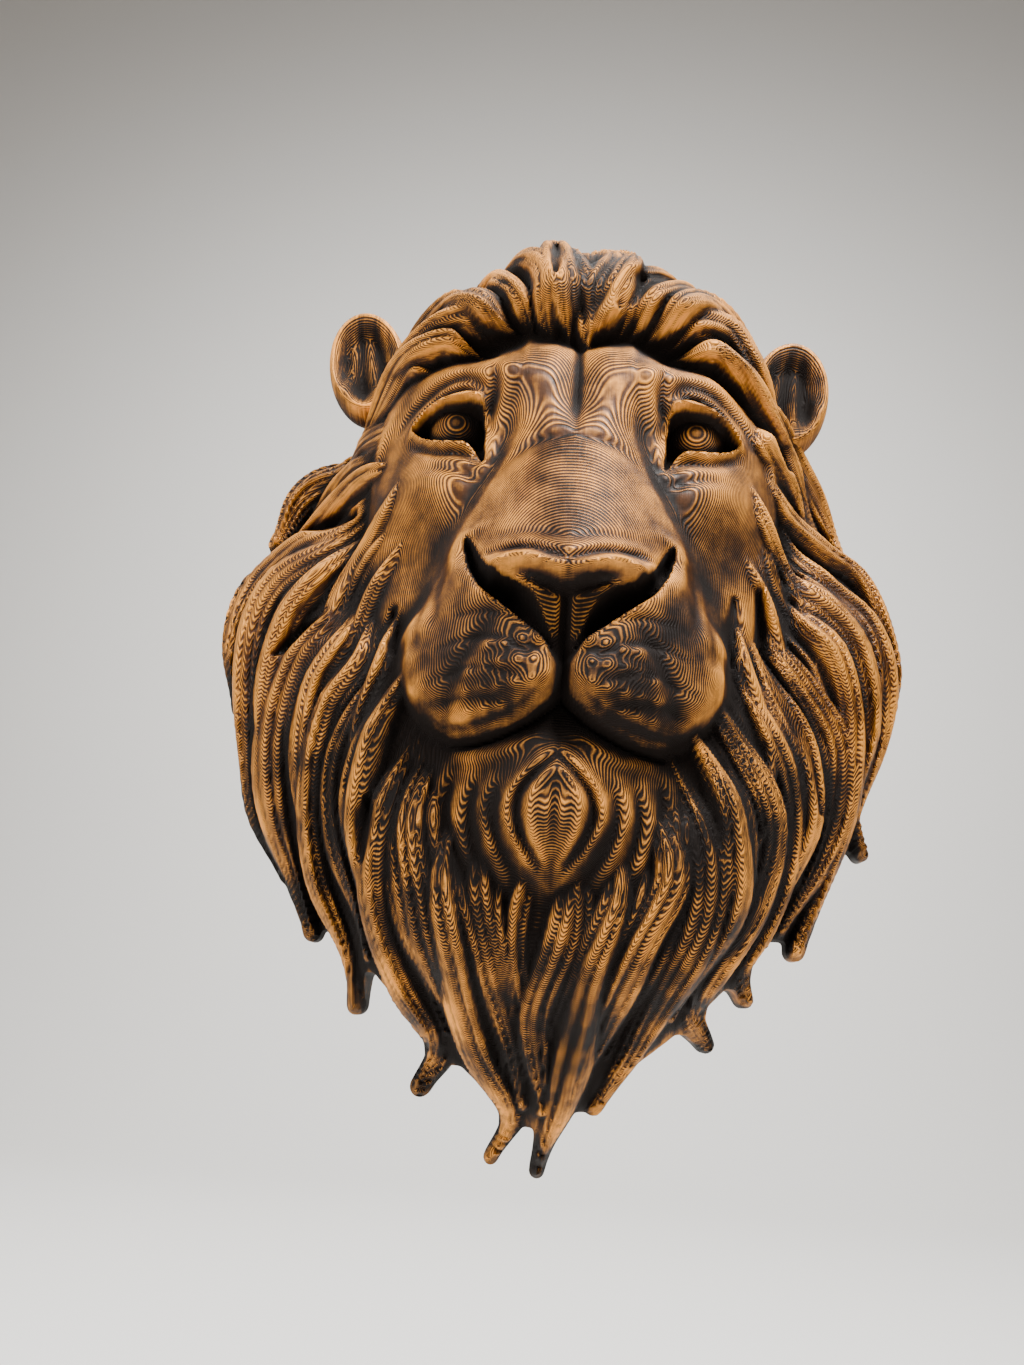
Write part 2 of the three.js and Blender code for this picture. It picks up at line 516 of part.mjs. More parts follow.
function outlineBlock() {
  const points = [];
  for (let i = 0; i < OUTLINE_POINTS; i += 1) points.push(outlineReach(2 * Math.PI * i / OUTLINE_POINTS));
  const depth = NOSE_DEPTH + 20;
  const geometry = new THREE.ExtrudeGeometry(new THREE.Shape(points), { depth, bevelEnabled: false });
  geometry.rotateX(Math.PI / 2);
  return solidOf(geometry);
}

// A cupped ear that leans out from behind the hair
function earSolid({ x, z, lean }) {
  const shell = new THREE.SphereGeometry(1, 16, 12);
  shell.scale(EAR_HALF_WIDTH, EAR_HALF_WIDTH, EAR_HALF_HEIGHT);
  const cup = new THREE.SphereGeometry(1, 16, 12);
  cup.scale(EAR_HALF_WIDTH - EAR_WALL, EAR_HALF_WIDTH - 1, EAR_HALF_HEIGHT - 1.5 * EAR_WALL);
  cup.translate(0, -CUP_DROP, 1);
  const root = new THREE.SphereGeometry(1, 10, 8);
  root.scale(10, 8, 12);
  root.translate(-6 * Math.sign(x), 3, -10);
  for (const geometry of [shell, cup, root]) {
    geometry.rotateY(-lean);
    geometry.translate(x, -EAR_DEPTH, z);
  }
  return solidOf(shell).add(solidOf(root)).subtract(solidOf(cup));
}

function eyeBall(side) {
  const geometry = new THREE.SphereGeometry(EYE_RADIUS, 14, 10);
  geometry.translate(side * EYE_X, -EYE_FLOOR, EYE_Z);
  return solidOf(geometry);
}

// The solid without the small pockets that an eyeball or an ear seals off
function outerSkin(solid) {
  return solid.decompose().reduce((best, skin) => (skin.volume() > best.volume() ? skin : best));
}

function lionHead() {
  let solid = headBlock().intersect(outlineBlock());
  for (const side of [-1, 1]) solid = solid.add(eyeBall(side));
  for (const ear of EARS) solid = solid.add(earSolid(ear));
  return outerSkin(solid);
}

// Antique gold paint over black-brown
const paint = new THREE.MeshStandardMaterial({ color: 0x8e5f2e, roughness: 0.55, metalness: 0.35 });
const head = new THREE.Mesh(geometryOf(lionHead()), paint);
head.name = 'lion_head';

const mask = new THREE.Group();
mask.add(head);

export default mask;
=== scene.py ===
"""Lion head wall mask: the carved mane and face, its ears, its paint, and a plain studio around it."""

import json
import math

import bpy
import numpy as np
from bpy.props import FloatProperty, FloatVectorProperty, PointerProperty
from mathutils import Matrix, Vector

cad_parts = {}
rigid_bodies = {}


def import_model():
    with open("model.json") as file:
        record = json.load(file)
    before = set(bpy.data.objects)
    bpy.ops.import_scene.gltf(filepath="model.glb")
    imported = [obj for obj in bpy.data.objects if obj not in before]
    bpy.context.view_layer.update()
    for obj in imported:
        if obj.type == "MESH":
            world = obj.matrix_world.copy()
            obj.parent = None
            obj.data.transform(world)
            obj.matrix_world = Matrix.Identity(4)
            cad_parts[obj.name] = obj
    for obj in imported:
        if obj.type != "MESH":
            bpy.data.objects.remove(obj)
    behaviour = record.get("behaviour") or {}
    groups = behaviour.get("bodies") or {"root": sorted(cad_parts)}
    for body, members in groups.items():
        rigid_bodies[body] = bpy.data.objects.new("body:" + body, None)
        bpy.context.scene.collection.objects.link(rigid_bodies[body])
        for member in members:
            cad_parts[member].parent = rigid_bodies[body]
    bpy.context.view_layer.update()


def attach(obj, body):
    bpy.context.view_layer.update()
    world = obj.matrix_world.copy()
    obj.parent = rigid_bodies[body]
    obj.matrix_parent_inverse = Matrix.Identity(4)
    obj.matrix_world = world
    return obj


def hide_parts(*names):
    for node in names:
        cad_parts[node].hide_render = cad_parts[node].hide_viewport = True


bl_info = {
    "name": "Lion Head Wall Mask",
    "version": (1, 0, 0),
    "blender": (4, 5, 0),
    "location": "3D View > Sidebar > Lion Mask",
    "description": "Carves, paints and lights a lion head wall mask",
    "category": "Object",
}

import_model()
MM = 0.001

# The head's driving sizes in millimetres. Depth means distance off the wall.
MANE_CORE = 0.945
CROWN_CORE = 0.905
LOCK_CREASE = 4.4
MANE_EDGE = 4.0
MANE_RISE = 36.0
BEARD_RISE = 9.0
CROWN_RISE = 11.0
FACE_HALF_WIDTH = 47.0
FACE_HALF_HEIGHT = 49.0
FACE_Z = 24.0
FACE_EDGE = 29.0
FACE_RISE = 20.5
NOSE_Z = 2.7
NOSE_DEPTH = 66.2
EYE_X = 26.0
EYE_Z = 44.6
EYE_RADIUS = 7.1
EYE_FLOOR = 39.0
MOUTH_Z = -18.6
CHIN_Z = -38.0
EAR_HALF_WIDTH = 10.0
EAR_HALF_HEIGHT = 15.5
EAR_DEPTH = 20.0
LOCK_STEPS = 32
STRAND_WIDTH = 2.7
FURROW_WIDTH = 1.9              # of the fine hair on the ground between locks
LOCK_SPREAD = 1.22              # how much wider than in the table the locks are laid
CROWN_SWELL = 1.35              # how much thicker those of the crown are
ROOT_REACH = 6.0                # a lock's root runs this far in under the skin of the face
PARTING_Z = 40.0                # the fine hair spreads out from this height on the midline
HAIR_SPREAD = 62.0              # millimetres across the fine hair for each radian round there
WHISKER_SPACING = 3.3
WHISKER_RISE = 0.6
NOTCH_CELLS = 4                 # the outline closes over notches up to twice this wide
SETTLE_TURNS = 8
PAINT_RADII = (0.9, 2.6, 6.5)   # what is around a place, for the paint: fine, middling, wide

# Profiles as (place, value) stations, as the solid has them
MANE_PROFILE = (108.0, 94.0, 85.0, 80.0, 79.0, 79.0, 81.0, 80.0, 77.0, 78.0, 87.6, 98.9, 109.0)
RIDGE_DROP = (
    (73, 21.2), (63, 17.7), (57, 15.2), (51, 13.9), (43, 12.9), (35, 11.6), (25, 8.4), (15, 4.8),
    (7, 1.8), (2.3, 0), (-3, 1.8), (-9, 5.2), (-15, 6.4), (-21, 7), (-27, 9), (-34, 13),
)
SNOUT_HALF_WIDTH = (
    (60, 12), (50, 12.5), (42, 12.5), (36, 13.6), (30, 15.8), (22, 19.6), (15, 23), (8, 25.6), (3, 28),
    (-7, 32.4), (-16, 33), (-24, 30), (-31, 25),
)
SNOUT_EDGE = (
    (60, 46), (44, 48), (36, 50), (28, 51), (15, 50.5), (8, 49.5), (3, 48.5), (-7, 46.5), (-20, 44), (-31, 40),
)
SNOUT_ROUNDNESS = ((40, 2.6), (25, 2.4), (8, 1.9), (2, 1.9), (-12, 2.4))
SNOUT_FALL = ((40, 0.7), (25, 0.8), (10, 0.95), (4, 0.9), (-12, 0.62))
NOSE_PAD_HALF_WIDTH = (
    (4.3, 16.5), (0.3, 14.5), (-1.7, 10.8), (-3.7, 8.4), (-7.7, 5.6), (-12.7, 2.8), (-17, 2),
)
NOSE_PAD_DROP = ((4.3, 0.2), (0.3, 1.9), (-2.7, 4), (-7.7, 6), (-12.7, 8), (-17, 9.9))
NOSTRIL_INNER = (
    (10.3, 21), (9.3, 20.4), (5.3, 18.4), (2.3, 16.8), (-0.2, 14), (-1.7, 10.5), (-3.7, 8.2), (-6.7, 6),
    (-9.7, 4.3), (-12.7, 2.8), (-15.7, 1.6),
)
NOSTRIL_OUTER = (
    (10.3, 21.6), (9.3, 21.4), (5.3, 20.6), (2.3, 19.6), (-0.2, 18), (-1.7, 16.8), (-3.7, 14.8), (-6.7, 11.2),
    (-9.7, 7.6), (-12.7, 4.6), (-15.7, 2),
)
LIP_LINE = ((0, 0), (3, -3), (6.5, -6), (13.5, -9.2), (20, -10.2), (24.5, -9), (29, -6), (33, -1))
UPPER_LID = (
    (-6.8, -10.5), (-6.2, -7), (-5.8, -1), (-5.3, 1.9), (-4, 3.1), (-1, 3.9), (3, 3.6), (6.5, 2.1), (9.6, -0.4),
    (12, -2.8),
)
LOWER_LID = (
    (-6.8, -10.5), (-6.2, -10.7), (-5.4, -9.6), (-4, -7.4), (-2, -5.8), (2, -5.2), (5.5, -4.3), (8, -3),
    (9.8, -1.4), (12, 1.4),
)
# Swellings of the face: out from the midline, over the eyes or the mouth, wide, tall, rise
SKULL_FORMS = (
    (14.5, 10, 8.5, 9, 4.4), (26, 12, 10, 4.6, 2.6), (32, -14.5, 9, 9, 2.4), (36, -30.5, 7, 9, -2),
    (22, 19, 5, 7, -1.6), (25, -21, 7, 12, 2.2),
)
MUZZLE_FORMS = (
    (10, 4, 9, 9, 1.9), (5.2, 0.4, 3.6, 4, 1.2), (31, 12.6, 3.2, 3.2, 1.2), (31.5, 5.6, 3, 3, 1.1),
    (28, -0.6, 3.4, 3.2, 1),
)
WHISKER_ROWS = ((4.8, -10.6, 4), (5.4, -14.8, 5), (5.6, -19.2, 5), (8.4, -23.2, 4))
# Folds of the face on both sides: their run (out from the midline, height), width, rise or sink
FOLDS = (
    (((18.6, 56), (18, 51), (18.8, 46.5), (19, 41)), 1.3, -1.5),
    (((20, 51.5), (25, 54.6), (31, 53.8), (37, 49.5), (40, 45)), 1.1, -1.2),
    (((12, 58), (12.5, 64), (10, 71)), 2.6, 0.9),
    (((19, 62), (21, 67), (20, 72)), 1.8, -0.8),
    (((0, 37.5), (6, 36.4), (11, 33.6), (15.8, 28.5)), 1.6, -0.7),
    (((19, 33), (24, 35.4), (30, 36.4), (36, 39.6)), 1.1, -0.9),
    (((20, 28.6), (26, 31), (33, 32.6)), 1.4, -0.6),
    (((17.5, 40), (18.5, 34), (20.5, 28)), 1.5, 0.9),
    (((18.5, 15), (22.6, 12.4), (23.4, 7.5), (21.8, 2)), 1.5, 1.2),
    (((25.5, 9), (26.4, 2), (26, -6)), 1.3, -0.8),
    (((14, -6.5), (18.5, -12.5), (21.6, -19), (22.6, -26)), 1.7, -1.1),
    (((28.5, 3), (30.2, -4), (30, -12)), 1.1, -0.7),
    (((18, 7.2), (13, 7.7), (8, 7.3), (3.5, 5.6), (0, 4.2)), 0.9, -1.3),
    (((16, 11.4), (7, 10.8), (0, 9.2)), 1.1, -0.35),
    (((5.2, -10), (9.5, -6.6), (15, -4.8), (21, -5.2)), 0.8, -0.55),
    (((6, -14), (11, -11.2), (17.5, -10), (25, -12)), 0.8, -0.55),
    (((8, -18.6), (13, -16.6), (19.5, -16.4), (27, -18.4)), 0.8, -0.55),
    (((9.5, -23), (15, -21.8), (21, -21.8), (26, -22.6)), 0.8, -0.5),
    (((3.6, -18.6), (7, -22.6), (13.5, -25.6), (20, -26.6), (25, -25.2), (29.5, -21)), 0.7, -0.6),
    (((0.8, -30.5), (4.6, -34), (8.4, -38.5), (9.4, -43), (7.4, -48), (4, -52.5), (0.6, -56)), 1.2, 1.1),
    (((1, -32.5), (4.2, -35.5), (6.8, -39), (7.4, -43), (5.6, -48), (2.6, -52)), 0.8, -1.1),
    (((0.3, -34), (3, -37), (4.8, -41), (4.2, -46), (2, -51), (0.3, -54)), 1.0, 0.9),
    (((0.2, -37.5), (0.2, -42), (0.2, -48)), 0.8, -0.8),
    (((12.4, -36), (14.2, -41), (12.2, -49), (8.5, -57)), 1.5, 1.0),
    (((11.4, -38), (12, -43), (10.6, -48), (7, -54)), 0.8, -0.8),
    (((17.5, -36), (19, -43), (16.5, -52), (12, -61)), 1.7, 1.0),
    (((15.6, -37), (16.4, -44), (14, -53)), 0.8, -0.8),
    (((22.5, -34), (23.6, -42), (21, -52), (17, -60)), 1.6, 0.9),
    (((20.6, -36), (21.2, -43), (18.6, -54)), 0.8, -0.8),
    (((3, -27), (7, -29.4), (13, -31.6), (20, -31.8)), 1.5, 0.7),
)
# The bead round the leather of the nose
NOSE_BEAD = (
    (0, 1.4), (3.4, 2.7), (8, 4.3), (12.4, 4.4), (15, 2.8), (14.6, 0.8), (11.6, -0.6), (9, -1.8), (7.4, -4.2),
    (5.8, -7.6), (4.2, -10.8),
)

# The groove under the bead
UNDER_BEAD = ((0.8, -1.2), (4.5, 0.6), (8.5, 1.9), (12.2, 1.9))

# Lift of a lock over the mane's body at its root, middle and tip
CROWN = (-1.5, 2.0, 1.0)
MANE = (-4.2, 0.6, 0.4)
CHEEK = (-4.4, 0.0, 0.0)
# Share of a lock's length over which it grows out of the ground to its full width
GROWN = {CROWN: 0.3, MANE: 0.42}
GROWN_OTHER = 0.48

# The locks, root to tip: points on the wall plane, half width, half thickness and lift
LOCKS = (
    (((1, 69), (-1, 78), (-3.3, 90), (-3.5, 103)), 4.6, 4.2, CROWN),
    (((-3, 71), (-4.5, 84), (-8, 95), (-15, 102), (-21, 100)), 4.6, 4.4, CROWN),
    (((-7, 71), (-9.5, 81), (-14, 90), (-21, 96), (-29, 97)), 4.4, 4.4, CROWN),
    (((-13, 71), (-17.5, 79.5), (-22.5, 87), (-29.5, 89.5), (-35, 85)), 4.0, 4.2, CROWN),
    (((-17, 70), (-23.5, 74), (-32, 77), (-40, 74), (-46, 70), (-49, 65)), 4.0, 4.0, CROWN),
    (((-21.5, 68), (-27, 70.5), (-35, 70), (-42, 66.5), (-48, 61.5), (-57.5, 56)), 4.0, 4.2, CROWN),
    (((-26, 64), (-31, 66), (-36, 64), (-43.5, 60.5), (-52, 55), (-60, 52)), 3.6, 3.8, CROWN),
    (((-35, 60), (-41, 60), (-47, 55), (-53, 50)), 2.8, 3.2, MANE),
    (((-43, 47), (-53, 50), (-62, 49), (-70, 43), (-75, 32)), 6.6, 4.8, MANE),
    (((-45, 38), (-54, 37), (-64, 34), (-73, 27)), 3.6, 3.4, MANE),
    (((-46, 33), (-56, 28), (-68, 25), (-78, 18), (-82, 3), (-79, -13)), 5.0, 4.4, MANE),
    (((-47, 28), (-57, 21), (-69, 13), (-73, 0), (-72, -22), (-70, -38), (-61, -52)), 5.8, 4.4, MANE),
    (((-48, 22), (-56, 13), (-64, 4), (-67, -10), (-66, -26), (-64, -42)), 4.6, 4.2, MANE),
    (((-48, 12), (-52, 3), (-59, -7), (-62, -22), (-61, -40), (-58, -54), (-54, -65)), 6.0, 4.6, MANE),
    (((-45, 6), (-47, -4), (-54, -14), (-57, -28), (-54, -44), (-50, -58)), 4.2, 4.0, MANE),
    (((-41, 2), (-43, -9), (-50, -19), (-52, -33), (-49, -52), (-43, -67), (-42, -80)), 5.2, 4.4, MANE),
    (((-37, -9), (-42, -20), (-46, -33), (-44, -48), (-40, -60), (-38, -70)), 4.0, 4.0, MANE),
    (((-32, -16), (-38, -27), (-40, -40), (-38, -54), (-36, -66)), 3.6, 3.6, MANE),
    (((-29, -28), (-33, -42), (-33, -58), (-28, -74), (-22, -86), (-26, -96)), 5.2, 4.6, MANE),
    (((-25, -32), (-28, -46), (-25, -62), (-19, -76), (-15, -88)), 4.2, 4.2, MANE),
    (((-20, -42), (-21, -56), (-16, -71), (-11, -86), (-5.5, -99), (-9.5, -109)), 4.6, 4.2, MANE),
    (((-13, -42), (-12, -58), (-9, -75), (-5, -88), (-3, -97)), 4.2, 4.0, MANE),
    (((-37, 34), (-43, 25), (-49, 14), (-53, 0), (-55, -14)), 2.6, 2.6, CHEEK),
    (((-35, 20), (-40, 9), (-45, -4), (-48, -20), (-47, -36)), 2.6, 2.6, CHEEK),
    (((-34, 4), (-38, -8), (-42, -22), (-41, -38), (-37, -52)), 2.6, 2.6, CHEEK),
    (((-25, -36), (-23, -46), (-21, -58), (-16, -70)), 2.6, 2.6, CHEEK),
    (((-13, -46), (-14, -54), (-12, -64), (-9, -80)), 2.8, 2.8, CHEEK),
    (((-3, -47), (-5.5, -60), (-4, -76), (-2, -88)), 2.6, 2.6, CHEEK),
    (((-9, -46), (-10, -60), (-8, -76), (-7.5, -90), (-6.5, -101)), 3.0, 3.0, CHEEK),
    (((2.5, 70), (3.5, 79), (6, 90), (2.5, 104)), 4.6, 4.4, CROWN),
    (((4, 70), (8, 79), (11, 88), (8, 97)), 4.0, 4.2, CROWN),
    (((8.7, 70), (11, 77), (15.5, 83), (21, 88), (25, 90)), 4.0, 4.0, CROWN),
    (((12.5, 70), (17, 77.5), (24, 83.5), (32, 86), (38, 83)), 4.6, 4.2, CROWN),
    (((17, 69.5), (22.5, 75), (30.5, 78.5), (38, 76.5), (44, 72.5), (50.5, 65)), 4.4, 4.2, CROWN),
    (((21, 67.5), (26, 71), (34, 72), (39, 68), (45, 61), (53, 56.5), (57, 50)), 4.0, 4.2, CROWN),
    (((25, 65), (31, 66.5), (36.5, 62.5), (42.5, 56), (51, 52), (56, 49)), 3.4, 3.4, CROWN),
    (((36, 56), (44, 57), (52, 53), (60, 46), (66, 38), (71, 29)), 5.0, 4.2, MANE),
    (((41, 50), (46, 46), (52, 40), (57, 34)), 3.2, 3.4, MANE),
    (((43, 42), (50, 34), (60, 29), (70, 26), (76, 17), (80, 6), (79, -4)), 4.4, 4.0, MANE),
    (((45, 34), (51, 25), (60, 19), (70, 13), (74, 0), (73, -16), (69, -30)), 4.8, 4.2, MANE),
    (((46, 26), (50, 17), (58, 11), (65, 3), (69, -12), (67.5, -28), (71.5, -39)), 4.6, 4.2, MANE),
    (((48, 14), (52, 7), (60, 0), (65, -12), (65, -28), (61, -45), (56, -62)), 4.8, 4.2, MANE),
    (((44, 10), (45, 1), (52, -7), (60, -18), (61, -32), (58, -45), (51, -58)), 5.0, 4.4, MANE),
    (((40, 0), (44, -11), (51, -22), (54, -36), (50, -50), (47, -61)), 4.2, 4.0, MANE),
    (((35, -8), (41, -17), (48, -29), (49, -42), (45, -56), (41.5, -66), (44.5, -73)), 4.6, 4.2, MANE),
    (((31, -17), (38, -27), (43, -39), (41, -52), (34, -66), (31, -76), (36, -83)), 5.0, 4.4, MANE),
    (((27, -26), (34, -38), (36, -52), (31, -66), (26, -78)), 4.0, 4.0, MANE),
    (((23, -30), (29, -43), (29, -57), (23, -72), (18, -86), (12, -97)), 5.4, 4.6, MANE),
    (((19, -38), (23, -52), (18, -66), (12, -80), (8, -92)), 4.4, 4.2, MANE),
    (((12, -43), (13, -57), (7, -73), (4, -88), (3, -100), (0.5, -111)), 4.8, 4.2, MANE),
    (((3, -47), (2.5, -62), (-1, -78), (0, -90), (1, -98)), 4.0, 3.8, MANE),
    (((38, 36), (44, 27), (50, 17), (55, 3), (57, -12)), 2.6, 2.6, CHEEK),
    (((36, 22), (41, 12), (46, 0), (50, -14), (51, -30)), 2.6, 2.6, CHEEK),
    (((34, 6), (38, -6), (43, -20), (43, -36), (39, -50)), 2.6, 2.6, CHEEK),
    (((25, -36), (24, -46), (22, -58), (17, -70)), 2.6, 2.6, CHEEK),
    (((13, -46), (14, -54), (12, -64), (8, -78)), 2.8, 2.8, CHEEK),
    (((5, -46), (6.5, -59), (3, -75), (1, -86)), 2.6, 2.6, CHEEK),
)
LEFT_LOCKS = 29                 # the rest of the table is the right side

# Deep places between locks: where they run, half width and how deep they sink
PITS = (
    (((-30, 83), (-24, 83)), 4.2, 9),
    (((-7, 92), (-6.5, 79)), 1.6, 4),
    (((8, 72), (13, 81)), 2.2, 4),
    (((30, 61), (37, 58), (45, 52), (50, 46)), 2.6, 6),
    (((-58, 53), (-54, 54)), 2.4, 6),
    (((-66, 31), (-52, 31)), 2.6, 8),
    (((-37, 2), (-36, -8)), 2.0, 3),
    (((42, 12), (43, -2), (48, -12), (54, -22), (57, -34)), 2.0, 4),
    (((36, 8), (35, -7)), 1.8, 2.5),
    (((-38, -40), (-38, -52)), 1.8, 4),
    (((-66, -5), (-57, 3)), 1.5, 4),
)
EARS = ((-53.5, 74.0, 0.16), (52.0, 70.0, -0.12))


def linear(code):
    """An sRGB hex colour as linear numbers."""
    parts = [int(code[i : i + 2], 16) / 255 for i in (1, 3, 5)]
    return [p / 12.92 if p <= 0.04045 else ((p + 0.055) / 1.055) ** 2.4 for p in parts]


class MaskSettings(bpy.types.PropertyGroup):
    """Sizes and colours of the mask and its studio."""

    mesh_step: FloatProperty(
        name="Mesh Step", description="Spacing of the carving's vertices",
        default=0.62 * MM, min=0.5 * MM, max=2 * MM, unit="LENGTH",
    )
    strand_relief: FloatProperty(
        name="Strand Relief", description="Height of the strands on each lock",
        default=0.95 * MM, min=0, max=2 * MM, unit="LENGTH",
    )
    layer_height: FloatProperty(
        name="Layer Height", description="Spacing of the print's layers off the wall",
        default=0.3 * MM, min=0.1 * MM, max=0.6 * MM, unit="LENGTH",
    )
    gold: FloatVectorProperty(
        name="Gold", description="Dry-brushed paint on what stands proud",
        default=linear("#FFAA42"), size=3, subtype="COLOR", min=0, max=1,
    )
    bronze: FloatVectorProperty(
        name="Bronze", description="Base coat",
        default=linear("#5A2E0C"), size=3, subtype="COLOR", min=0, max=1,
    )
    # This colour also serves as painted shade on the eyes, the muzzle, the lower face and the crown
    wash: FloatVectorProperty(
        name="Wash", description="Black-brown wash left in what lies deep",
        default=linear("#080301"), size=3, subtype="COLOR", min=0, max=1,
    )
    floor_drop: FloatProperty(
        name="Floor Drop", description="How far the floor lies below the wall mount",
        default=0.42, min=0.2, max=2, unit="LENGTH",
    )
    key_power: FloatProperty(
        name="Key Light", description="Power of the soft light from upper right",
        default=28.0, min=0, max=100, unit="POWER",
    )


def smooth(start, end, value):
    t = np.clip((value - start) / (end - start), 0, 1)
    return t * t * (3 - 2 * t)


def bell(u, v=0.0, power=2.0):
    return np.exp(-(np.abs(u) ** power + np.abs(v) ** power))


def blend(a, b, width):
    """The larger of two depths, with the join rounded over the given width."""
    h = np.clip(0.5 + 0.5 * (a - b) / width, 0, 1)
    return b + (a - b) * h + width * h * (1 - h)


def along(stations, place):
    """Smooth curve through stations, without overshoot."""
    rows = np.array(sorted(stations), float)
    at = np.clip(place, rows[0, 0], rows[-1, 0])
    span = np.diff(rows[:, 0])
    grade = np.diff(rows[:, 1]) / span
    product = grade[:-1] * grade[1:]
    total = np.where(product > 0, grade[:-1] + grade[1:], 1)
    inner = np.where(product > 0, 2 * product / total, 0)
    slope = np.concatenate(([grade[0]], inner, [grade[-1]]))
    i = np.clip(np.searchsorted(rows[:, 0], at, side="left") - 1, 0, len(span) - 1)
    t = (at - rows[i, 0]) / span[i]
    rise = 3 * t**2 - 2 * t**3
    lead = t - 2 * t**2 + t**3
    trail = t**3 - t**2
    curve = rows[i, 1] * (1 - rise) + rows[i + 1, 1] * rise
    return curve + span[i] * (slope[i] * lead + slope[i + 1] * trail)


def curve_through(points, count):
    """Points at even shares of a curve that passes through all the given ones."""
    p = np.array(points, float)
    p = np.vstack((2 * p[0] - p[1], p, 2 * p[-1] - p[-2]))
    t = np.linspace(0, len(p) - 3, count)
    i = np.minimum(t.astype(int), len(p) - 4)
    u = (t - i)[:, None]
    a, b, c, d = p[i], p[i + 1], p[i + 2], p[i + 3]
    return 0.5 * (2 * b + (c - a) * u + (2 * a - 5 * b + 4 * c - d) * u**2 + (3 * b - a - 3 * c + d) * u**3)


def window(x, z, path, reach):
    """Where the places lie within reach of a path's box."""
    low = path.min(0) - reach
    high = path.max(0) + reach
    return np.nonzero((x > low[0]) & (x < high[0]) & (z > low[1]) & (z < high[1]))


def nearest(x, z, path):
    """How far places lie from a path, how far along it, and on which side."""
    gap = np.full(x.shape, 1e9)
    share = np.zeros_like(x)
    side = np.ones_like(x)
    for i, (dx, dz) in enumerate(np.diff(path, axis=0)):
        t = np.clip(((x - path[i, 0]) * dx + (z - path[i, 1]) * dz) / (dx * dx + dz * dz), 0, 1)
        ox, oz = x - path[i, 0] - t * dx, z - path[i, 1] - t * dz
        off = np.hypot(ox, oz)
        closer = off < gap
        gap[closer] = off[closer]
        share[closer] = ((i + t) / (len(path) - 1))[closer]
        side[closer] = np.where(ox * dz - oz * dx > 0, 1.0, -1.0)[closer]
    return gap, share, side


def fold(depth, x, z, points, width, rise):
    """Raises or sinks the surface along a path, fading out at both ends."""
    path = curve_through(points, 5 * len(points))
    near = window(x, z, path, 2.6 * width)
    gap, share, _ = nearest(x[near], z[near], path)
    depth[near] += rise * bell(gap / width) * np.sin(math.pi * (0.06 + 0.88 * share)) ** 0.6


def mane_radius(x, z):
    places = np.linspace(-90, 90, len(MANE_PROFILE))
    return along(list(zip(places, MANE_PROFILE)), np.degrees(np.arctan2(z, np.abs(x))))


def mane_depth(x, z):
    """Depth of the body that carries the locks: a dome, boxier over the crown."""
    r = np.hypot(x, z)
    sine = z / np.maximum(r, 1e-6)
    up = smooth(0.45, 0.95, sine)
    down = smooth(0.2, 1, -sine)
    share = np.clip(1 - (r / mane_radius(x, z)) ** (2.5 + 5.5 * up), 0, 1)
    return MANE_EDGE + (MANE_RISE + BEARD_RISE * down + CROWN_RISE * up) * share ** (0.75 - 0.25 * up)


def swelling(forms, ax, height):
    return sum(rise * bell((ax - out) / wide, (height - over) / tall) for out, over, wide, tall, rise in forms)


def face_share(x, z):
    """1 on the rim of the bare face and less inside."""
    return (np.abs(x) / FACE_HALF_WIDTH) ** 2.6 + (np.abs(z - FACE_Z + 2) / FACE_HALF_HEIGHT) ** 2.8


def skull_depth(ax, z):
    upright = (np.abs(z - FACE_Z) / FACE_HALF_HEIGHT) ** np.where(z > FACE_Z, 4, 2.8)
    q = (ax / FACE_HALF_WIDTH) ** 2.5 + upright
    fullness = 0.62 - 0.22 * smooth(FACE_Z + 11, FACE_Z + 34, z)
    plain = FACE_EDGE + FACE_RISE * np.clip(1 - q, 0, 1) ** fullness - 60 * np.maximum(q - 1, 0)
    return plain + swelling(SKULL_FORMS, ax, z - EYE_Z)


def snout_depth(ax, z):
    """The bridge and the flanks in one form that widens from between the eyes down to the muzzle."""
    half = along(SNOUT_HALF_WIDTH, z)
    edge = along(SNOUT_EDGE, z)
    ridge = NOSE_DEPTH - along(RIDGE_DROP, z - NOSE_Z)
    arch = np.clip(1 - (ax / half) ** along(SNOUT_ROUNDNESS, z), 0, 1) ** along(SNOUT_FALL, z)
    ends = 0.35 * np.maximum(z - 62, 0) ** 1.5 + 3 * np.maximum(-30 - z, 0) ** 1.3
    return edge + (ridge - edge) * arch - 2.2 * np.maximum(ax - half, 0) - ends


def carve_eye(ax, z, depth):
    """Almond opening with the ball in it, heavy upper lid, thin lower lid and a slit down to the nose."""
    across = ax - EYE_X
    upper = EYE_Z + along(UPPER_LID, across)
    lower = EYE_Z + along(LOWER_LID, across)
    room = np.minimum(upper - z, z - lower)
    opened = smooth(-0.7, 1.0, room) * smooth(-7.2, -6.2, across)
    d = depth + 3.1 * bell((z - upper - 0.9) / 1.35) * smooth(-6.4, -4.4, across) * smooth(12.5, 9.5, across)
    d -= 0.9 * bell((z - upper - 3) / 0.8) * smooth(-4.5, -2, across) * smooth(12, 9, across)
    d += 1.3 * bell((z - lower + 0.8) / 1.1) * smooth(-5, -2, across) * smooth(12, 9, across)
    floor = EYE_FLOOR + 1.5 - 0.25 * across + 0.5 * np.maximum(EYE_Z - 3.6 - z, 0)
    off = np.hypot(across - 0.5, z - EYE_Z)
    ball = EYE_FLOOR + np.sqrt(np.clip(EYE_RADIUS**2 - off**2, 0, None))
    floor = np.where(off < EYE_RADIUS, np.maximum(floor, ball), floor)
    return d * (1 - opened) + floor * opened


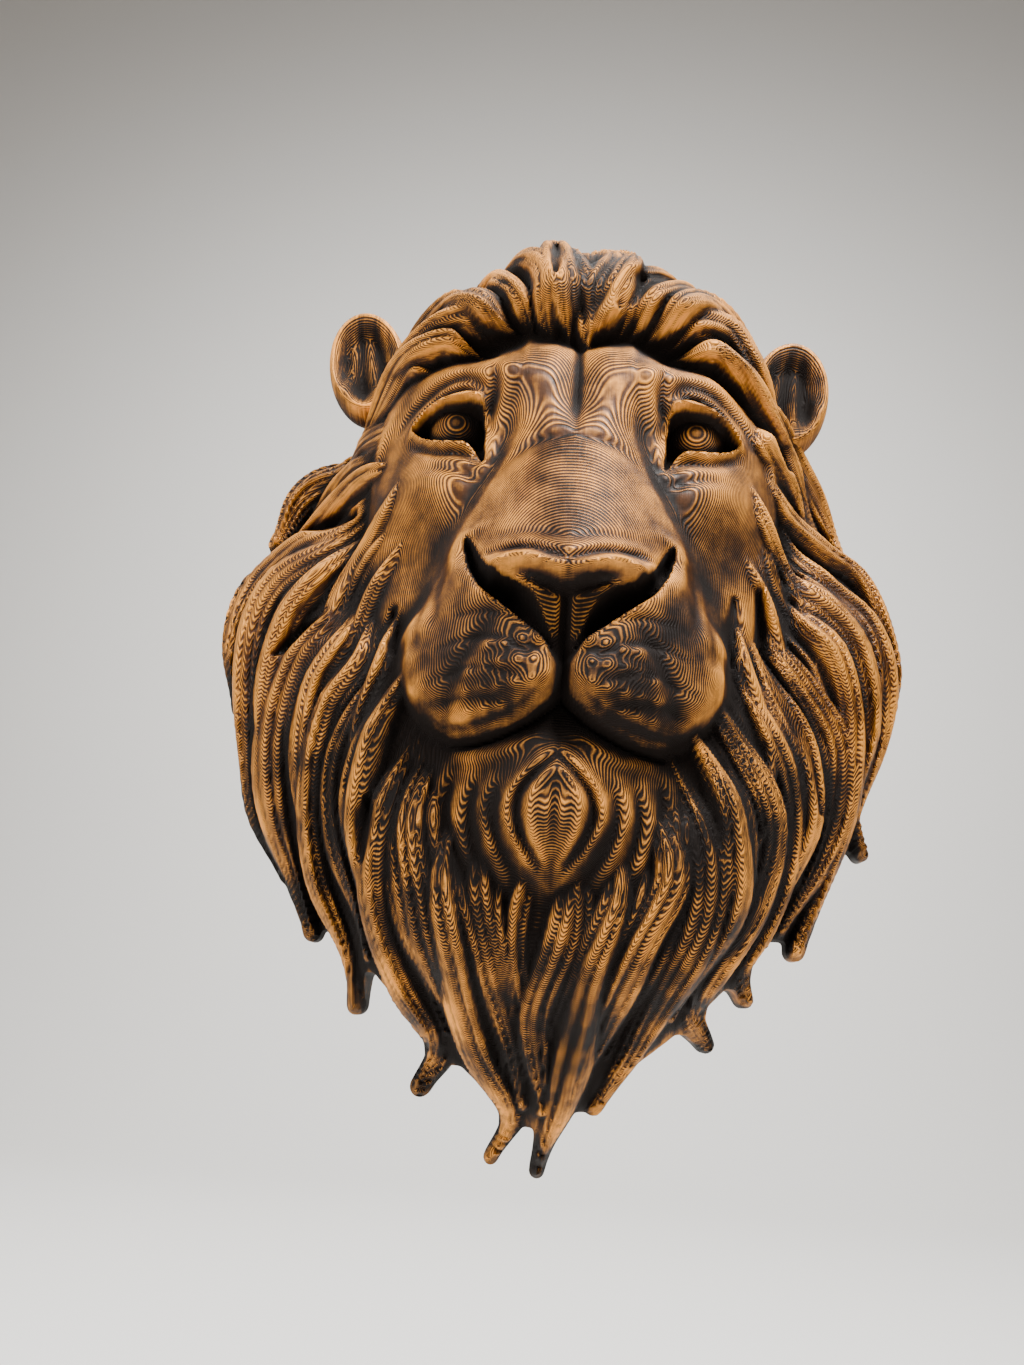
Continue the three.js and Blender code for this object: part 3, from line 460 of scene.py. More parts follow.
def muzzle_depth(ax, z):
    """The snout with the lobes of the upper lip, cut off along the line of the mouth."""
    over = z - MOUTH_Z - along(LIP_LINE, ax)
    d = snout_depth(ax, z) + swelling(MUZZLE_FORMS, ax, z - MOUTH_Z)
    return d - 2.6 * (1 - np.clip(over / 5, 0, 1)) ** 2 - 16 * smooth(0.2, -2.6, over)


def nostril(ax, z):
    """Share of the crescent nostril at each place, and its half width there."""
    h = z - NOSE_Z
    inner = along(NOSTRIL_INNER, h)
    outer = along(NOSTRIL_OUTER, h)
    reach = np.maximum((outer - inner) / 2, 0.05)
    ends = smooth(11.3, 8.3, h) * smooth(-16.2, -13.7, h)
    return bell((ax - (inner + outer) / 2) / (1.05 * reach), 0, 5) * ends, reach


def carve_nose(ax, z, depth):
    """Leather of the nose inside its bead, with a crescent nostril each side."""
    h = z - NOSE_Z
    bow = 0.009 * ax * ax
    half = along(NOSE_PAD_HALF_WIDTH, h)
    groove = 1.9 * bell(ax / 0.9) * smooth(-0.7, -5.7, h)
    pad = NOSE_DEPTH - along(NOSE_PAD_DROP, h) - 0.012 * ax * ax - groove
    in_pad = smooth(1, -1, ax - half) * smooth(0.8, -1.2, h - bow) * smooth(-17.7, -14.7, h)
    hole, reach = nostril(ax, z)
    d = depth * (1 - in_pad) + pad * in_pad
    d -= np.minimum(14, 4.2 * reach) * hole
    return d


def chin_depth(ax, z):
    """A low broad dome under the mouth; its folds are laid on later."""
    h = z - CHIN_Z
    d = jowl_depth(ax, z) - 0.6 + 8 * bell(ax / 19, (h - 2) / 18, 2.6) + 2.2 * bell(ax / 9, (h + 4) / 13, 2.2)
    over = z - MOUTH_Z - along(LIP_LINE, ax)
    return d - 9 * smooth(-1.8, 0.8, over)


def jowl_depth(ax, z):
    """Fullness under the cheeks and the chin that the hair grows from."""
    q = (ax / 46) ** 2.4 + (np.abs(z + 22) / 56) ** 2.4
    return 28 + 18 * np.clip(1 - q, 0, 1) ** 0.5 - 30 * np.maximum(q - 1, 0)


def face_depth(x, z):
    ax = np.abs(x)
    d = blend(skull_depth(ax, z), muzzle_depth(ax, z), 1.2 + 6.3 * smooth(-12, 8, z))
    d -= (1.1 * bell(x / 1.1) + 1.8 * bell(x / 4.5)) * smooth(36, 50, z) * smooth(76, 68, z)
    d = carve_eye(ax, z, d)
    d = carve_nose(ax, z, d)
    in_cleft = smooth(MOUTH_Z + 6.6, MOUTH_Z + 3.6, z) * smooth(MOUTH_Z - 5.4, MOUTH_Z - 1.4, z)
    d -= 4.5 * bell(ax / 1.3) * in_cleft
    d = blend(d, chin_depth(ax, z), 0.8)
    for row in (*FOLDS, (NOSE_BEAD, 1.15, 2.5), (UNDER_BEAD, 0.9, -1.6)):
        fold(d, ax, z, *row)
    for out, height, count in WHISKER_ROWS:
        for k in range(count):
            over = ax - out - WHISKER_SPACING * k
            d += WHISKER_RISE * bell(over / 1.2, (z - height + 0.5 * k) / 1.1)
    return d


class Canvas:
    """Maps of the head over the wall plane, in millimetres, at a fine even spacing."""

    STEP = 0.3
    WEST, SOUTH, EAST, NORTH = -90.0, -116.0, 90.0, 110.0

    def __init__(self):
        self.x = np.arange(self.WEST, self.EAST + self.STEP / 2, self.STEP)
        self.z = np.arange(self.SOUTH, self.NORTH + self.STEP / 2, self.STEP)
        self.X, self.Z = np.meshgrid(self.x, self.z)
        self.depth = np.zeros_like(self.X)
        self.across = np.zeros_like(self.X)
        self.lengthwise = np.zeros_like(self.X)
        self.hair = np.zeros_like(self.X)
        self.reach = np.zeros_like(self.X)

    def blur(self, values, radius):
        """Gaussian blur by the given radius in millimetres."""
        rows, cols = values.shape
        pad = int(3 * radius / self.STEP) + 1
        padded = np.pad(values, pad, mode="edge")
        fz = np.fft.fftfreq(padded.shape[0], self.STEP)
        fx = np.fft.rfftfreq(padded.shape[1], self.STEP)
        gain = np.exp(-2 * (math.pi * radius) ** 2 * (fz[:, None] ** 2 + fx[None, :] ** 2))
        soft = np.fft.irfft2(np.fft.rfft2(padded) * gain, s=padded.shape)
        return soft[pad : pad + rows, pad : pad + cols]

    def sample(self, values, x, z):
        """Value at any place, by the four around it."""
        i = np.clip((x - self.WEST) / self.STEP, 0, len(self.x) - 1.001)
        j = np.clip((z - self.SOUTH) / self.STEP, 0, len(self.z) - 1.001)
        i0, j0 = i.astype(int), j.astype(int)
        u, v = i - i0, j - j0
        low = values[j0, i0] * (1 - u) + values[j0, i0 + 1] * u
        high = values[j0 + 1, i0] * (1 - u) + values[j0 + 1, i0 + 1] * u
        return low * (1 - v) + high * v

    def slope(self, values, x, z):
        """How fast a map rises to the right and upward."""
        e = self.STEP
        gx = (self.sample(values, x + e, z) - self.sample(values, x - e, z)) / (2 * e)
        gz = (self.sample(values, x, z + e) - self.sample(values, x, z - e)) / (2 * e)
        return gx, gz


def lay_lock(canvas, lock, relief, seed):
    """Lays one lock on the canvas where it stands over what is there, with its strands."""
    points, half_width, half_thickness, lift = lock
    root, after = np.array(points[:2], float)
    start = root + ROOT_REACH * (root - after) / np.hypot(*(root - after))
    path = curve_through([start, *points], LOCK_STEPS + 1)
    s = np.linspace(0, 1, LOCK_STEPS + 1)
    run = np.gradient(path, axis=0)
    run /= np.hypot(*run.T)[:, None]
    wave = 0.9 * np.sin(9 * s + 2.7 * seed) * np.sin(math.pi * s)
    path = path + wave[:, None] * run[:, ::-1] * (1, -1)
    lengths = np.concatenate(([0], np.cumsum(np.hypot(*np.diff(path, axis=0).T))))
    grown = GROWN.get(lift, GROWN_OTHER)
    growth = smooth(0, grown, s)
    taper = 1 - 0.68 * smooth(0.62, 1, s)
    rise = lift[0] + (lift[1] - lift[0]) * smooth(0, grown, s) + (lift[2] - lift[1]) * smooth(0.6, 1, s)
    ground = canvas.sample(canvas.ground, path[:, 0], path[:, 1])
    ground = np.convolve(np.pad(ground, 2, mode="edge"), np.ones(5) / 5, "valid")
    middle = ground + rise
    widths = half_width * (0.1 + 0.9 * growth) * taper * (1 + 0.13 * np.sin(8 * s + 1.9 * seed))
    bodies = half_thickness * (0.2 + 0.8 * growth) * (0.4 + 0.6 * taper)
    near = window(canvas.X, canvas.Z, path, half_width + 1)
    gap, share, side = nearest(canvas.X[near], canvas.Z[near], path)
    width = np.interp(share, s, widths)
    body = np.interp(share, s, bodies)
    across = gap / width
    where = across < 1
    signed = side * across
    count = max(2, round(2 * half_width / STRAND_WIDTH))
    sway = 0.5 * np.sin(5.5 * share + 1.7 * seed)
    phase = (0.5 + 0.5 * signed + 0.1 * sway + 0.2 * (share - 0.5) * math.sin(seed)) * count + 0.37 * seed
    strand = np.abs(np.sin(math.pi * phase)) ** 0.6
    own = np.sin(2.3 * np.floor(phase) + 1.3 * seed + 4 * share)
    strand = 0.75 + (strand - 0.75) * (1 + 0.5 * own) + 0.25 * own
    grow = smooth(0.0, 0.12, share)
    ragged = 1 + 0.9 * smooth(0.55, 1, share)
    lean = 0.38 * math.sin(2.1 * seed)
    from_ridge = np.where(signed > lean, (signed - lean) / (1 - lean), (lean - signed) / (1 + lean))
    crown = 0.7 * np.sqrt(np.clip(1 - from_ridge**2, 0, 1)) + 0.3 * (1 - from_ridge)
    depth = np.interp(share, s, middle) + body * crown - LOCK_CREASE * across**5
    depth += relief * grow * ragged * (strand - 0.75) * smooth(1.05, 0.8, across)
    depth = np.where(where, depth, 0)
    over = where & (depth > canvas.depth[near])
    for target, values in (
        (canvas.depth, depth),
        (canvas.across, signed * width + 11 * seed),
        (canvas.lengthwise, np.interp(share, s, lengths)),
        (canvas.hair, np.ones_like(share)),
    ):
        kept = target[near]
        kept[over] = values[over]
        target[near] = kept
    reach = canvas.reach[near]
    canvas.reach[near] = np.maximum(reach, width - gap)


def between(one, other):
    """A lock that lies in the furrow between two neighbours, a little lower, or None."""
    a = curve_through(one[0], 7)
    b = curve_through(other[0], 7)
    gaps = np.hypot(*(a - b).T)
    if gaps[0] > 15 or gaps[-1] > 24:
        return None
    middle = (a + b) / 2
    width = float(np.clip(0.42 * gaps[1:6].mean(), 2.2, 4.0))
    lift = tuple(v - 1.8 for v in one[3])
    return [tuple(q) for q in middle[:6]], width, 0.9 * one[2], lift


def dig(canvas, pit):
    """Sinks a deep place between locks."""
    points, half_width, sink = pit
    path = curve_through(points, 24)
    near = window(canvas.X, canvas.Z, path, 2.2 * half_width)
    gap, share, _ = nearest(canvas.X[near], canvas.Z[near], path)
    slim = 0.35 + 0.65 * np.sin(math.pi * np.clip(share, 0.02, 0.98))
    canvas.depth[near] -= 0.6 * sink * bell(gap / (slim * half_width), 0, 2.2)


def carve(relief):
    """The whole head on one canvas."""
    canvas = Canvas()
    X, Z = canvas.X, canvas.Z
    far = np.hypot(X, Z)
    kept = MANE_CORE + (CROWN_CORE - MANE_CORE) * smooth(0.75, 0.95, Z / np.maximum(far, 1e-6))
    core = kept * mane_radius(X, Z) - far
    in_face = smooth(1, 0.7, face_share(X, Z)) * smooth(70, 60, Z)
    hairline = bell((face_share(X, Z) - 0.95) / 0.22) * smooth(44, 58, Z)
    body = mane_depth(X, Z) - 1.5 - 12 * in_face - 4.5 * hairline
    jowl = jowl_depth(np.abs(X), Z)
    under = blend(body, jowl, 4)
    skull = blend(skull_depth(np.abs(X), Z), snout_depth(np.abs(X), Z), 5)
    canvas.ground = np.maximum(blend(under, skull, 6), MANE_EDGE)
    face = face_depth(X, Z)
    canvas.depth = np.maximum(blend(under, face, 6.0 - 4.8 * smooth(5, -8, Z)), MANE_EDGE)
    canvas.reach = core
    spread = HAIR_SPREAD * np.arctan2(X, PARTING_Z - Z)
    furrows = 0.5 * np.abs(np.sin(math.pi * (spread / FURROW_WIDTH + 0.5 * np.sin(far / 9 + spread / 7)))) ** 0.7
    canvas.depth = canvas.depth + furrows * smooth(0.6, -0.6, face - under)
    bare = smooth(-0.6, 0.6, face - under)
    canvas.across = X * bare + spread * (1 - bare)
    canvas.lengthwise = Z * bare + far * (1 - bare)
    rows = list(LOCKS)
    for one, other in zip(LOCKS[:-1], LOCKS[1:]):
        if one is not LOCKS[LEFT_LOCKS - 1] and one[3] is not CROWN:
            lock = between(one, other)
            if lock:
                rows.insert(0, lock)
    for seed, lock in enumerate(rows):
        points, half_width, half_thickness, lift = lock
        swell = (1 + 0.3 * math.sin(2.4 * seed + 1)) * (CROWN_SWELL if lift is CROWN else 1)
        lay_lock(canvas, (points, LOCK_SPREAD * half_width, swell * half_thickness, lift), relief, seed)
    for pit in PITS:
        dig(canvas, pit)
    canvas.depth = np.maximum(canvas.depth, MANE_EDGE)
    canvas.reach = canvas.blur(close_gaps(np.clip(canvas.reach, -3, 3), NOTCH_CELLS), 0.4)
    canvas.bare = bare * (1 - canvas.hair)
    return canvas


def close_gaps(reach, cells):
    """The outline without its narrow notches and without holes right through."""
    for pick in (np.maximum, np.minimum):
        for axis in (0, 1):
            spread = reach
            for k in range(1, cells + 1):
                spread = pick(spread, pick(np.roll(reach, k, axis), np.roll(reach, -k, axis)))
            reach = spread
    empty = reach < 0
    outside = np.zeros_like(empty)
    outside[[0, -1], :] = True
    outside[:, [0, -1]] = True
    count = 0
    while count < outside.sum():
        count = outside.sum()
        for axis in (0, 1):
            for k in (1, -1):
                outside |= np.roll(outside, k, axis) & empty
    return np.where(empty & ~outside, 1.0, reach)


def solve_paint(canvas):
    """How far each place stands proud of, or lies deep in, what is around it; painted shade on the eyes, the
    muzzle, the lower face and the crown, and painted light on the sides, are laid over that.
    """
    d = np.where(canvas.reach > -1, canvas.depth, 0)
    fine, mid, wide = (d - canvas.blur(d, radius) for radius in PAINT_RADII)
    canvas.crest = np.clip(fine / 0.35, -1, 1) * 0.5 + np.clip(mid / 1.2, -1, 1) * 0.5
    canvas.hollow = np.clip(-mid / 2.2, 0, 1) * 0.55 + np.clip(-wide / 4.5, 0, 1) * 0.65
    ax = np.abs(canvas.X)
    # Painted shade in and around the eye sockets
    canvas.hollow += 0.4 * bell((ax - EYE_X) / 9.5, (canvas.Z - EYE_Z) / 5.5, 4)
    canvas.hollow += 0.35 * bell(ax / 11, (canvas.Z + 4) / 6, 4)
    # Painted shade on the lower face, growing from the mouth down
    canvas.hollow += 0.38 * smooth(-14, -30, canvas.Z)
    # Painted shade over the muzzle: more wash colour and less gold there
    lips = bell(ax / 30, (canvas.Z + 12) / 15, 4)
    # Painted shade over the top of the crown, and painted light on the outer sides of the mane
    canvas.hollow += 0.35 * lips + 0.25 * smooth(60, 80, canvas.Z) - 0.3 * smooth(48, 60, ax)
    canvas.crest -= 0.4 * lips
    black = np.clip(1.6 * nostril(ax, canvas.Z)[0], 0, 1)
    canvas.hollow += 1.6 * black
    canvas.crest -= 1.2 * black


def enter(mode):
    bpy.ops.object.mode_set(mode=mode)


def deselect():
    if bpy.context.object and bpy.context.object.mode != "OBJECT":
        enter("OBJECT")
    bpy.ops.object.select_all(action="DESELECT")


def coords(mesh):
    flat = np.empty(3 * len(mesh.vertices))
    mesh.vertices.foreach_get("co", flat)
    return flat.reshape(-1, 3)


def put_coords(mesh, places):
    mesh.vertices.foreach_set("co", places.astype(np.float32).ravel())
    mesh.update()


def store(mesh, name, values):
    """Keeps a value or a vector for each vertex, for the paint to follow."""
    kind, field = ("FLOAT", "value") if values.ndim == 1 else ("FLOAT_VECTOR", "vector")
    mesh.attributes.new(name, kind, "POINT").data.foreach_set(field, values.astype(np.float32).ravel())


def edges_of(mesh):
    flat = np.empty(2 * len(mesh.edges), int)
    mesh.edges.foreach_get("vertices", flat)
    return flat.reshape(-1, 2)


def rim_edges(mesh):
    """Mask of the edges that only one face uses."""
    used = np.empty(len(mesh.loops), int)
    mesh.loops.foreach_get("edge_index", used)
    return np.bincount(used, minlength=len(mesh.edges)) == 1


def select_vertices(mesh, mask):
    mesh.vertices.foreach_set("select", mask)
    mesh.edges.foreach_set("select", np.zeros(len(mesh.edges), bool))
    mesh.polygons.foreach_set("select", np.zeros(len(mesh.polygons), bool))


def to_rim(canvas, x, z, steps=4):
    """Moves places onto the line where the head ends."""
    for _ in range(steps):
        value = canvas.sample(canvas.reach, x, z)
        gx, gz = canvas.slope(canvas.reach, x, z)
        steep = np.maximum(gx**2 + gz**2, 0.3)
        x = x - np.clip(value * gx / steep, -0.5, 0.5)
        z = z - np.clip(value * gz / steep, -0.5, 0.5)
    return x, z


class MASK_OT_carve_head(bpy.types.Operator):
    """Carve the face and the mane from one sheet and close it against the wall"""

    bl_idname = "mask.carve_head"
    bl_label = "Carve Head"

    def execute(self, context):
        sizes = context.scene.lion_mask
        canvas = carve(sizes.strand_relief / MM)
        solve_paint(canvas)
        deselect()
        step = sizes.mesh_step / MM
        width, height = canvas.EAST - canvas.WEST, canvas.NORTH - canvas.SOUTH
        bpy.ops.mesh.primitive_grid_add(
            x_subdivisions=round(width / step), y_subdivisions=round(height / step), size=1,
            location=(0, 0, (canvas.NORTH + canvas.SOUTH) / 2 * MM), rotation=(math.pi / 2, 0, 0),
        )
        bpy.ops.transform.resize(value=(width * MM, 1, height * MM))
        head = context.object
        head.name = head.data.name = "lion_head_carving"
        bpy.ops.object.transform_apply(location=True, rotation=True, scale=True)
        mesh = head.data
        self.trim(mesh, canvas)
        self.settle(mesh, canvas)
        self.paint_maps(mesh, canvas)
        self.close(mesh)
        bpy.ops.object.shade_smooth_by_angle(angle=math.radians(50))
        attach(head, "root")
        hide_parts("lion_head")
        return {"FINISHED"}

    def trim(self, mesh, canvas):
        """Cuts the sheet to the outline of the mane."""
        place = coords(mesh) / MM
        unwanted = canvas.sample(canvas.reach, place[:, 0], place[:, 2]) < 0
        while unwanted.any():
            select_vertices(mesh, unwanted)
            enter("EDIT")
            bpy.ops.mesh.select_mode(type="VERT")
            bpy.ops.mesh.delete(type="VERT")
            enter("OBJECT")
            middle = np.zeros(len(mesh.vertices), bool)
            middle[np.hypot(*coords(mesh)[:, (0, 2)].T).argmin()] = True
            select_vertices(mesh, middle)
            enter("EDIT")
            bpy.ops.mesh.select_linked()
            bpy.ops.mesh.select_all(action="INVERT")
            bpy.ops.mesh.delete(type="VERT")
            bpy.ops.mesh.select_all(action="SELECT")
            bpy.ops.mesh.delete_loose()
            enter("OBJECT")
            # Corners where the outline would touch itself go too
            ends = edges_of(mesh)[rim_edges(mesh)].ravel()
            unwanted = np.bincount(ends, minlength=len(mesh.vertices)) > 2

    def settle(self, mesh, canvas):
        """Raises the sheet to the carving and evens its cells out over steep places."""
        edges = edges_of(mesh)
        rim = rim_edges(mesh)
        on_rim = np.zeros(len(mesh.vertices), bool)
        on_rim[edges[rim].ravel()] = True
        x, _, z = (coords(mesh) / MM).T
        linked = np.bincount(edges.ravel(), minlength=len(x))
        rim_links = np.maximum(np.bincount(edges[rim].ravel(), minlength=len(x)), 1)

        def mean(values, pairs, count):
            total = np.bincount(pairs[:, 0], values[pairs[:, 1]], len(values))
            return (total + np.bincount(pairs[:, 1], values[pairs[:, 0]], len(values))) / count

        soft = 0.4 * canvas.blur(canvas.depth, 0.5)
        for turn in range(SETTLE_TURNS):
            depth = canvas.sample(soft, x, z)
            gx, gz = canvas.slope(soft, x, z)
            mx = mean(x, edges, linked) - x
            mz = mean(z, edges, linked) - z
            md = mean(depth, edges, linked) - depth
            steep = 1 + gx**2 + gz**2
            off = (md - gx * mx - gz * mz) / steep
            nx = x + np.clip(0.6 * (mx + off * gx), -0.1, 0.1)
            nz = z + np.clip(0.6 * (mz + off * gz), -0.1, 0.1)
            rx, rz = to_rim(
                canvas,
                x + 0.5 * (mean(x, edges[rim], rim_links) - x),
                z + 0.5 * (mean(z, edges[rim], rim_links) - z),
                steps=4 if turn else 8,
            )
            x = np.where(on_rim, rx, nx)
            z = np.where(on_rim, rz, nz)
        depth = canvas.sample(canvas.depth, x, z)
        place = np.stack((x, -depth, z), axis=1) * MM
        put_coords(mesh, place)

    def paint_maps(self, mesh, canvas):
        """Stores what the paint follows: crests and hollows, both with painted shade laid over them, the bare
        face and the run of the hair.
        """
        place = coords(mesh) / MM
        for name in ("crest", "hollow", "bare"):
            store(mesh, name, canvas.sample(getattr(canvas, name), place[:, 0], place[:, 2]))
        i = np.round((place[:, 0] - canvas.WEST) / canvas.STEP).astype(int)
        j = np.round((place[:, 2] - canvas.SOUTH) / canvas.STEP).astype(int)
        i = np.clip(i, 0, len(canvas.x) - 1)
        j = np.clip(j, 0, len(canvas.z) - 1)
        run = np.stack((canvas.across[j, i], canvas.lengthwise[j, i], canvas.hair[j, i]), axis=1)
        store(mesh, "hair_run", run)

    def close(self, mesh):
        """Drops the rim to the wall in three bands and fills the back."""
        enter("EDIT")
        bpy.ops.mesh.select_mode(type="EDGE")
        enter("OBJECT")
        for share in (0.67, 0.5, 0.0):
            rim = rim_edges(mesh)
            mesh.vertices.foreach_set("select", np.zeros(len(mesh.vertices), bool))
            mesh.polygons.foreach_set("select", np.zeros(len(mesh.polygons), bool))
            mesh.edges.foreach_set("select", rim)
            before = len(mesh.vertices)
            enter("EDIT")
            bpy.ops.mesh.extrude_edges_move(TRANSFORM_OT_translate={"value": (0, 0, 0)})
            enter("OBJECT")
            place = coords(mesh)
            place[before:, 1] *= share
            put_coords(mesh, place)
        enter("EDIT")
        bpy.ops.mesh.select_all(action="DESELECT")
        bpy.ops.mesh.select_non_manifold(
            extend=False, use_wire=False, use_multi_face=False, use_non_contiguous=False, use_verts=False
        )
        bpy.ops.mesh.fill(use_beauty=False)
        bpy.ops.mesh.select_all(action="SELECT")
        bpy.ops.mesh.normals_make_consistent(inside=False)
        enter("OBJECT")


class MASK_OT_shape_ears(bpy.types.Operator):
    """Shape the two cupped ears and join them to the head"""

    bl_idname = "mask.shape_ears"
    bl_label = "Shape Ears"

    def execute(self, context):
        head = bpy.data.objects["lion_head_carving"]
        ears = [self.ear(*row) for row in EARS]
        deselect()
        for piece in ears:
            piece.select_set(True)
        head.select_set(True)
        context.view_layer.objects.active = head
        bpy.ops.object.join()
        return {"FINISHED"}

    def ear(self, x, z, lean):
        deselect()
        bpy.ops.mesh.primitive_uv_sphere_add(segments=56, ring_count=36, radius=1)
        ear = bpy.context.object
        ear.name = "ear"
        mesh = ear.data
        unit = coords(mesh)
        side = math.copysign(1, x)
        front = np.clip(-unit[:, 1], 0, 1)
        edge = np.hypot(unit[:, 0], unit[:, 2])
        place = unit * (EAR_HALF_WIDTH, EAR_HALF_WIDTH, EAR_HALF_HEIGHT)
        cup = smooth(0.93, 0.45, edge) * smooth(0.0, 0.25, front)
        place[:, 1] += cup * EAR_HALF_WIDTH * front * 0.7
        tuft = np.sin(4.2 * unit[:, 0] * (1 + 0.6 * unit[:, 2]) * math.pi)
        place[:, 1] -= 1.1 * cup * tuft * smooth(0.9, -0.6, unit[:, 2])
        place[:, 1] -= 1.1 * bell((edge - 0.9) / 0.09) * smooth(0.0, 0.3, front)
        turn = Matrix.Rotation(-lean, 3, "Y")
        place = place @ np.array(turn).T + (x, -EAR_DEPTH, z)
        put_coords(mesh, place * MM)
        hollow = np.clip(cup * 0.6 + 0.3 * smooth(-0.2, -0.8, unit[:, 2]), 0, 1)
        crest = bell((edge - 0.9) / 0.12) * smooth(-0.1, 0.2, front) - 0.35 * cup + 0.6 * cup * tuft
        for name, values in (("crest", crest), ("hollow", hollow), ("bare", np.zeros(len(unit)))):
            store(mesh, name, values)
        store(mesh, "hair_run", np.stack((place[:, 0], place[:, 2] * side, np.ones(len(unit))), axis=1))
        bpy.ops.object.shade_smooth()
        return ear


def add(tree, kind, inputs=(), **settings):
    """Adds a node with its settings and links; a value or another node's socket goes to each input."""
    node = tree.nodes.new(kind)
    for name, value in settings.items():
        setattr(node, name, value)
    for key, value in dict(inputs).items():
        if isinstance(value, bpy.types.NodeSocket):
            tree.links.new(value, node.inputs[key])
        else:
            node.inputs[key].default_value = value
    return node


class MASK_OT_paint(bpy.types.Operator):
    """Paint the mask in antique gold over a dark wash, with painted shade and painted light"""

    bl_idname = "mask.paint"
    bl_label = "Paint"

    def execute(self, context):
        head = bpy.data.objects["lion_head_carving"]
        head.data.materials.clear()
        head.data.materials.append(antique_gold(context.scene.lion_mask))
        return {"FINISHED"}


def antique_gold(sizes):
    """Acrylic bronze paint on printed PLA: a brown base, a black-brown wash that stays in the
    grooves, and gold dry-brushed over what stands proud. Painted shade darkens the eyes, the
    muzzle, the lower face and the crown, and painted light brightens the sides and the upper
    parts. The print's layers show as fine contour lines wherever the surface lies nearly level
    with the wall."""
    material = bpy.data.materials.new("antique gold paint, washed and dry-brushed on printed PLA")
    material.use_nodes = True
    tree = material.node_tree
    tree.nodes.clear()

    def math_node(operation, a, b=0.0):
        return add(tree, "ShaderNodeMath", {0: a, 1: b}, operation=operation).outputs[0]

    def plus(total, *terms):
        for value, weight in terms:
            total = math_node("ADD", total, math_node("MULTIPLY", value, weight))
        return total

    def ramp_up(value, low, high, to=1.0):
        node = add(tree, "ShaderNodeMapRange", {"Value": value, "From Min": low, "From Max": high, "To Max": to})
        return node.outputs["Result"]

    def mix(share, a, b):
        a, b = ((*linear(tone), 1) if isinstance(tone, str) else tone for tone in (a, b))
        return add(tree, "ShaderNodeMix", {0: share, 6: a, 7: b}, data_type="RGBA").outputs[2]

    def noise(place, scale, detail, roughness):
        inputs = {"Vector": place, "Scale": scale, "Detail": detail, "Roughness": roughness}
        return add(tree, "ShaderNodeTexNoise", inputs).outputs["Fac"]

    def stored(name, output="Fac"):
        return add(tree, "ShaderNodeAttribute", attribute_name=name).outputs[output]

    where = add(tree, "ShaderNodeTexCoord").outputs["Object"]
    facing = add(tree, "ShaderNodeNewGeometry").outputs["True Normal"]
    split = add(tree, "ShaderNodeSeparateXYZ", {0: where})
    depth, upward = split.outputs["Y"], split.outputs["Z"]
    level = math_node("ABSOLUTE", add(tree, "ShaderNodeSeparateXYZ", {0: facing}).outputs["Y"])
    crest, hollow, bare = stored("crest"), stored("hollow"), stored("bare")
    run = stored("hair_run", "Vector")

    # Layer lines: drawn a little wider than the printed 0.2 mm so that they show
    layer = math_node("DIVIDE", depth, sizes.layer_height)
    groove = math_node("SINE", math_node("MULTIPLY", layer, 2 * math.pi))
    flatness = ramp_up(level, 0.4, 0.75)
    at_wall = ramp_up(depth, -0.0007, -0.0001)
    off_wall = math_node("SUBTRACT", 1.0, at_wall)
    lines = math_node("MULTIPLY", groove, math_node("ADD", flatness, ramp_up(level, 0.975, 0.998, -0.7)))

    # Brush streaks about 0.5 mm wide that run along the hair, and blotches on the bare face
    streak_place = add(tree, "ShaderNodeMapping", {"Vector": run, "Scale": (1.7, 0.10, 1.0)}).outputs[0]
    streak = noise(streak_place, 1.0, 3.0, 0.6)
    blotch = noise(where, 85.0, 5.0, 0.62)
    speck = noise(where, 900.0, 2.0, 0.5)
    on_hair = math_node("ADD", ramp_up(bare, 0.0, 1.0, -0.75), 1.0)
    streaks = math_node("SUBTRACT", streak, 0.5)
    streaks = math_node("MULTIPLY", streaks, on_hair)
    streaks = math_node("MULTIPLY", streaks, off_wall)
    blotches = math_node("SUBTRACT", blotch, 0.5)

    # Base coat: greyer and pinker up the face, yellower on the cheeks, more orange in the beard
    height = ramp_up(upward, -0.06, 0.07)
    base = mix(height, (*sizes.bronze, 1), "#704216")
    base = mix(math_node("MULTIPLY", bare, 0.6), base, "#7A481A")
    ridge = math_node("MULTIPLY", ramp_up(depth, -0.050, -0.060), bare)
    base = mix(math_node("MULTIPLY", ridge, 0.7), base, "#8E5C40")
    base = mix(ramp_up(blotch, 0.4, 0.66, 0.5), base, "#341604")

    # Gold on the crests, broken up by streaks and layers; more gold higher up is painted light from above
    lit = plus(crest, (streaks, 2.2), (lines, 0.75), (blotches, 3.2), (height, 0.25), (ridge, 0.15))
    gilded = mix(ramp_up(lit, 0.25, 1.5, 0.97), base, (*sizes.gold, 1))

    # The wash lies in the hollows and in the layer grooves, and the paint darkens near the wall; darker lower
    # down and lighter higher up is painted shade and light from above, and the map of hollows also carries
    # painted shade
    near_wall = ramp_up(depth, -0.009, -0.002, 0.8)
    deep = plus(near_wall, (hollow, 1.5), (streaks, -1.3), (crest, -0.7), (lines, -0.55), (blotches, -3.8))
    washed = mix(ramp_up(plus(deep, (height, -0.2)), -0.9, 0.6, 0.98), gilded, (*sizes.wash, 1))

    # The back is a plain dark coat
    coat = mix(ramp_up(blotch, 0.35, 0.65, 0.8), "#3A1E0C", "#1C0E06")
    colour = mix(at_wall, washed, coat)
    colour = mix(math_node("MULTIPLY", speck, 0.12), colour, (*sizes.wash, 1))

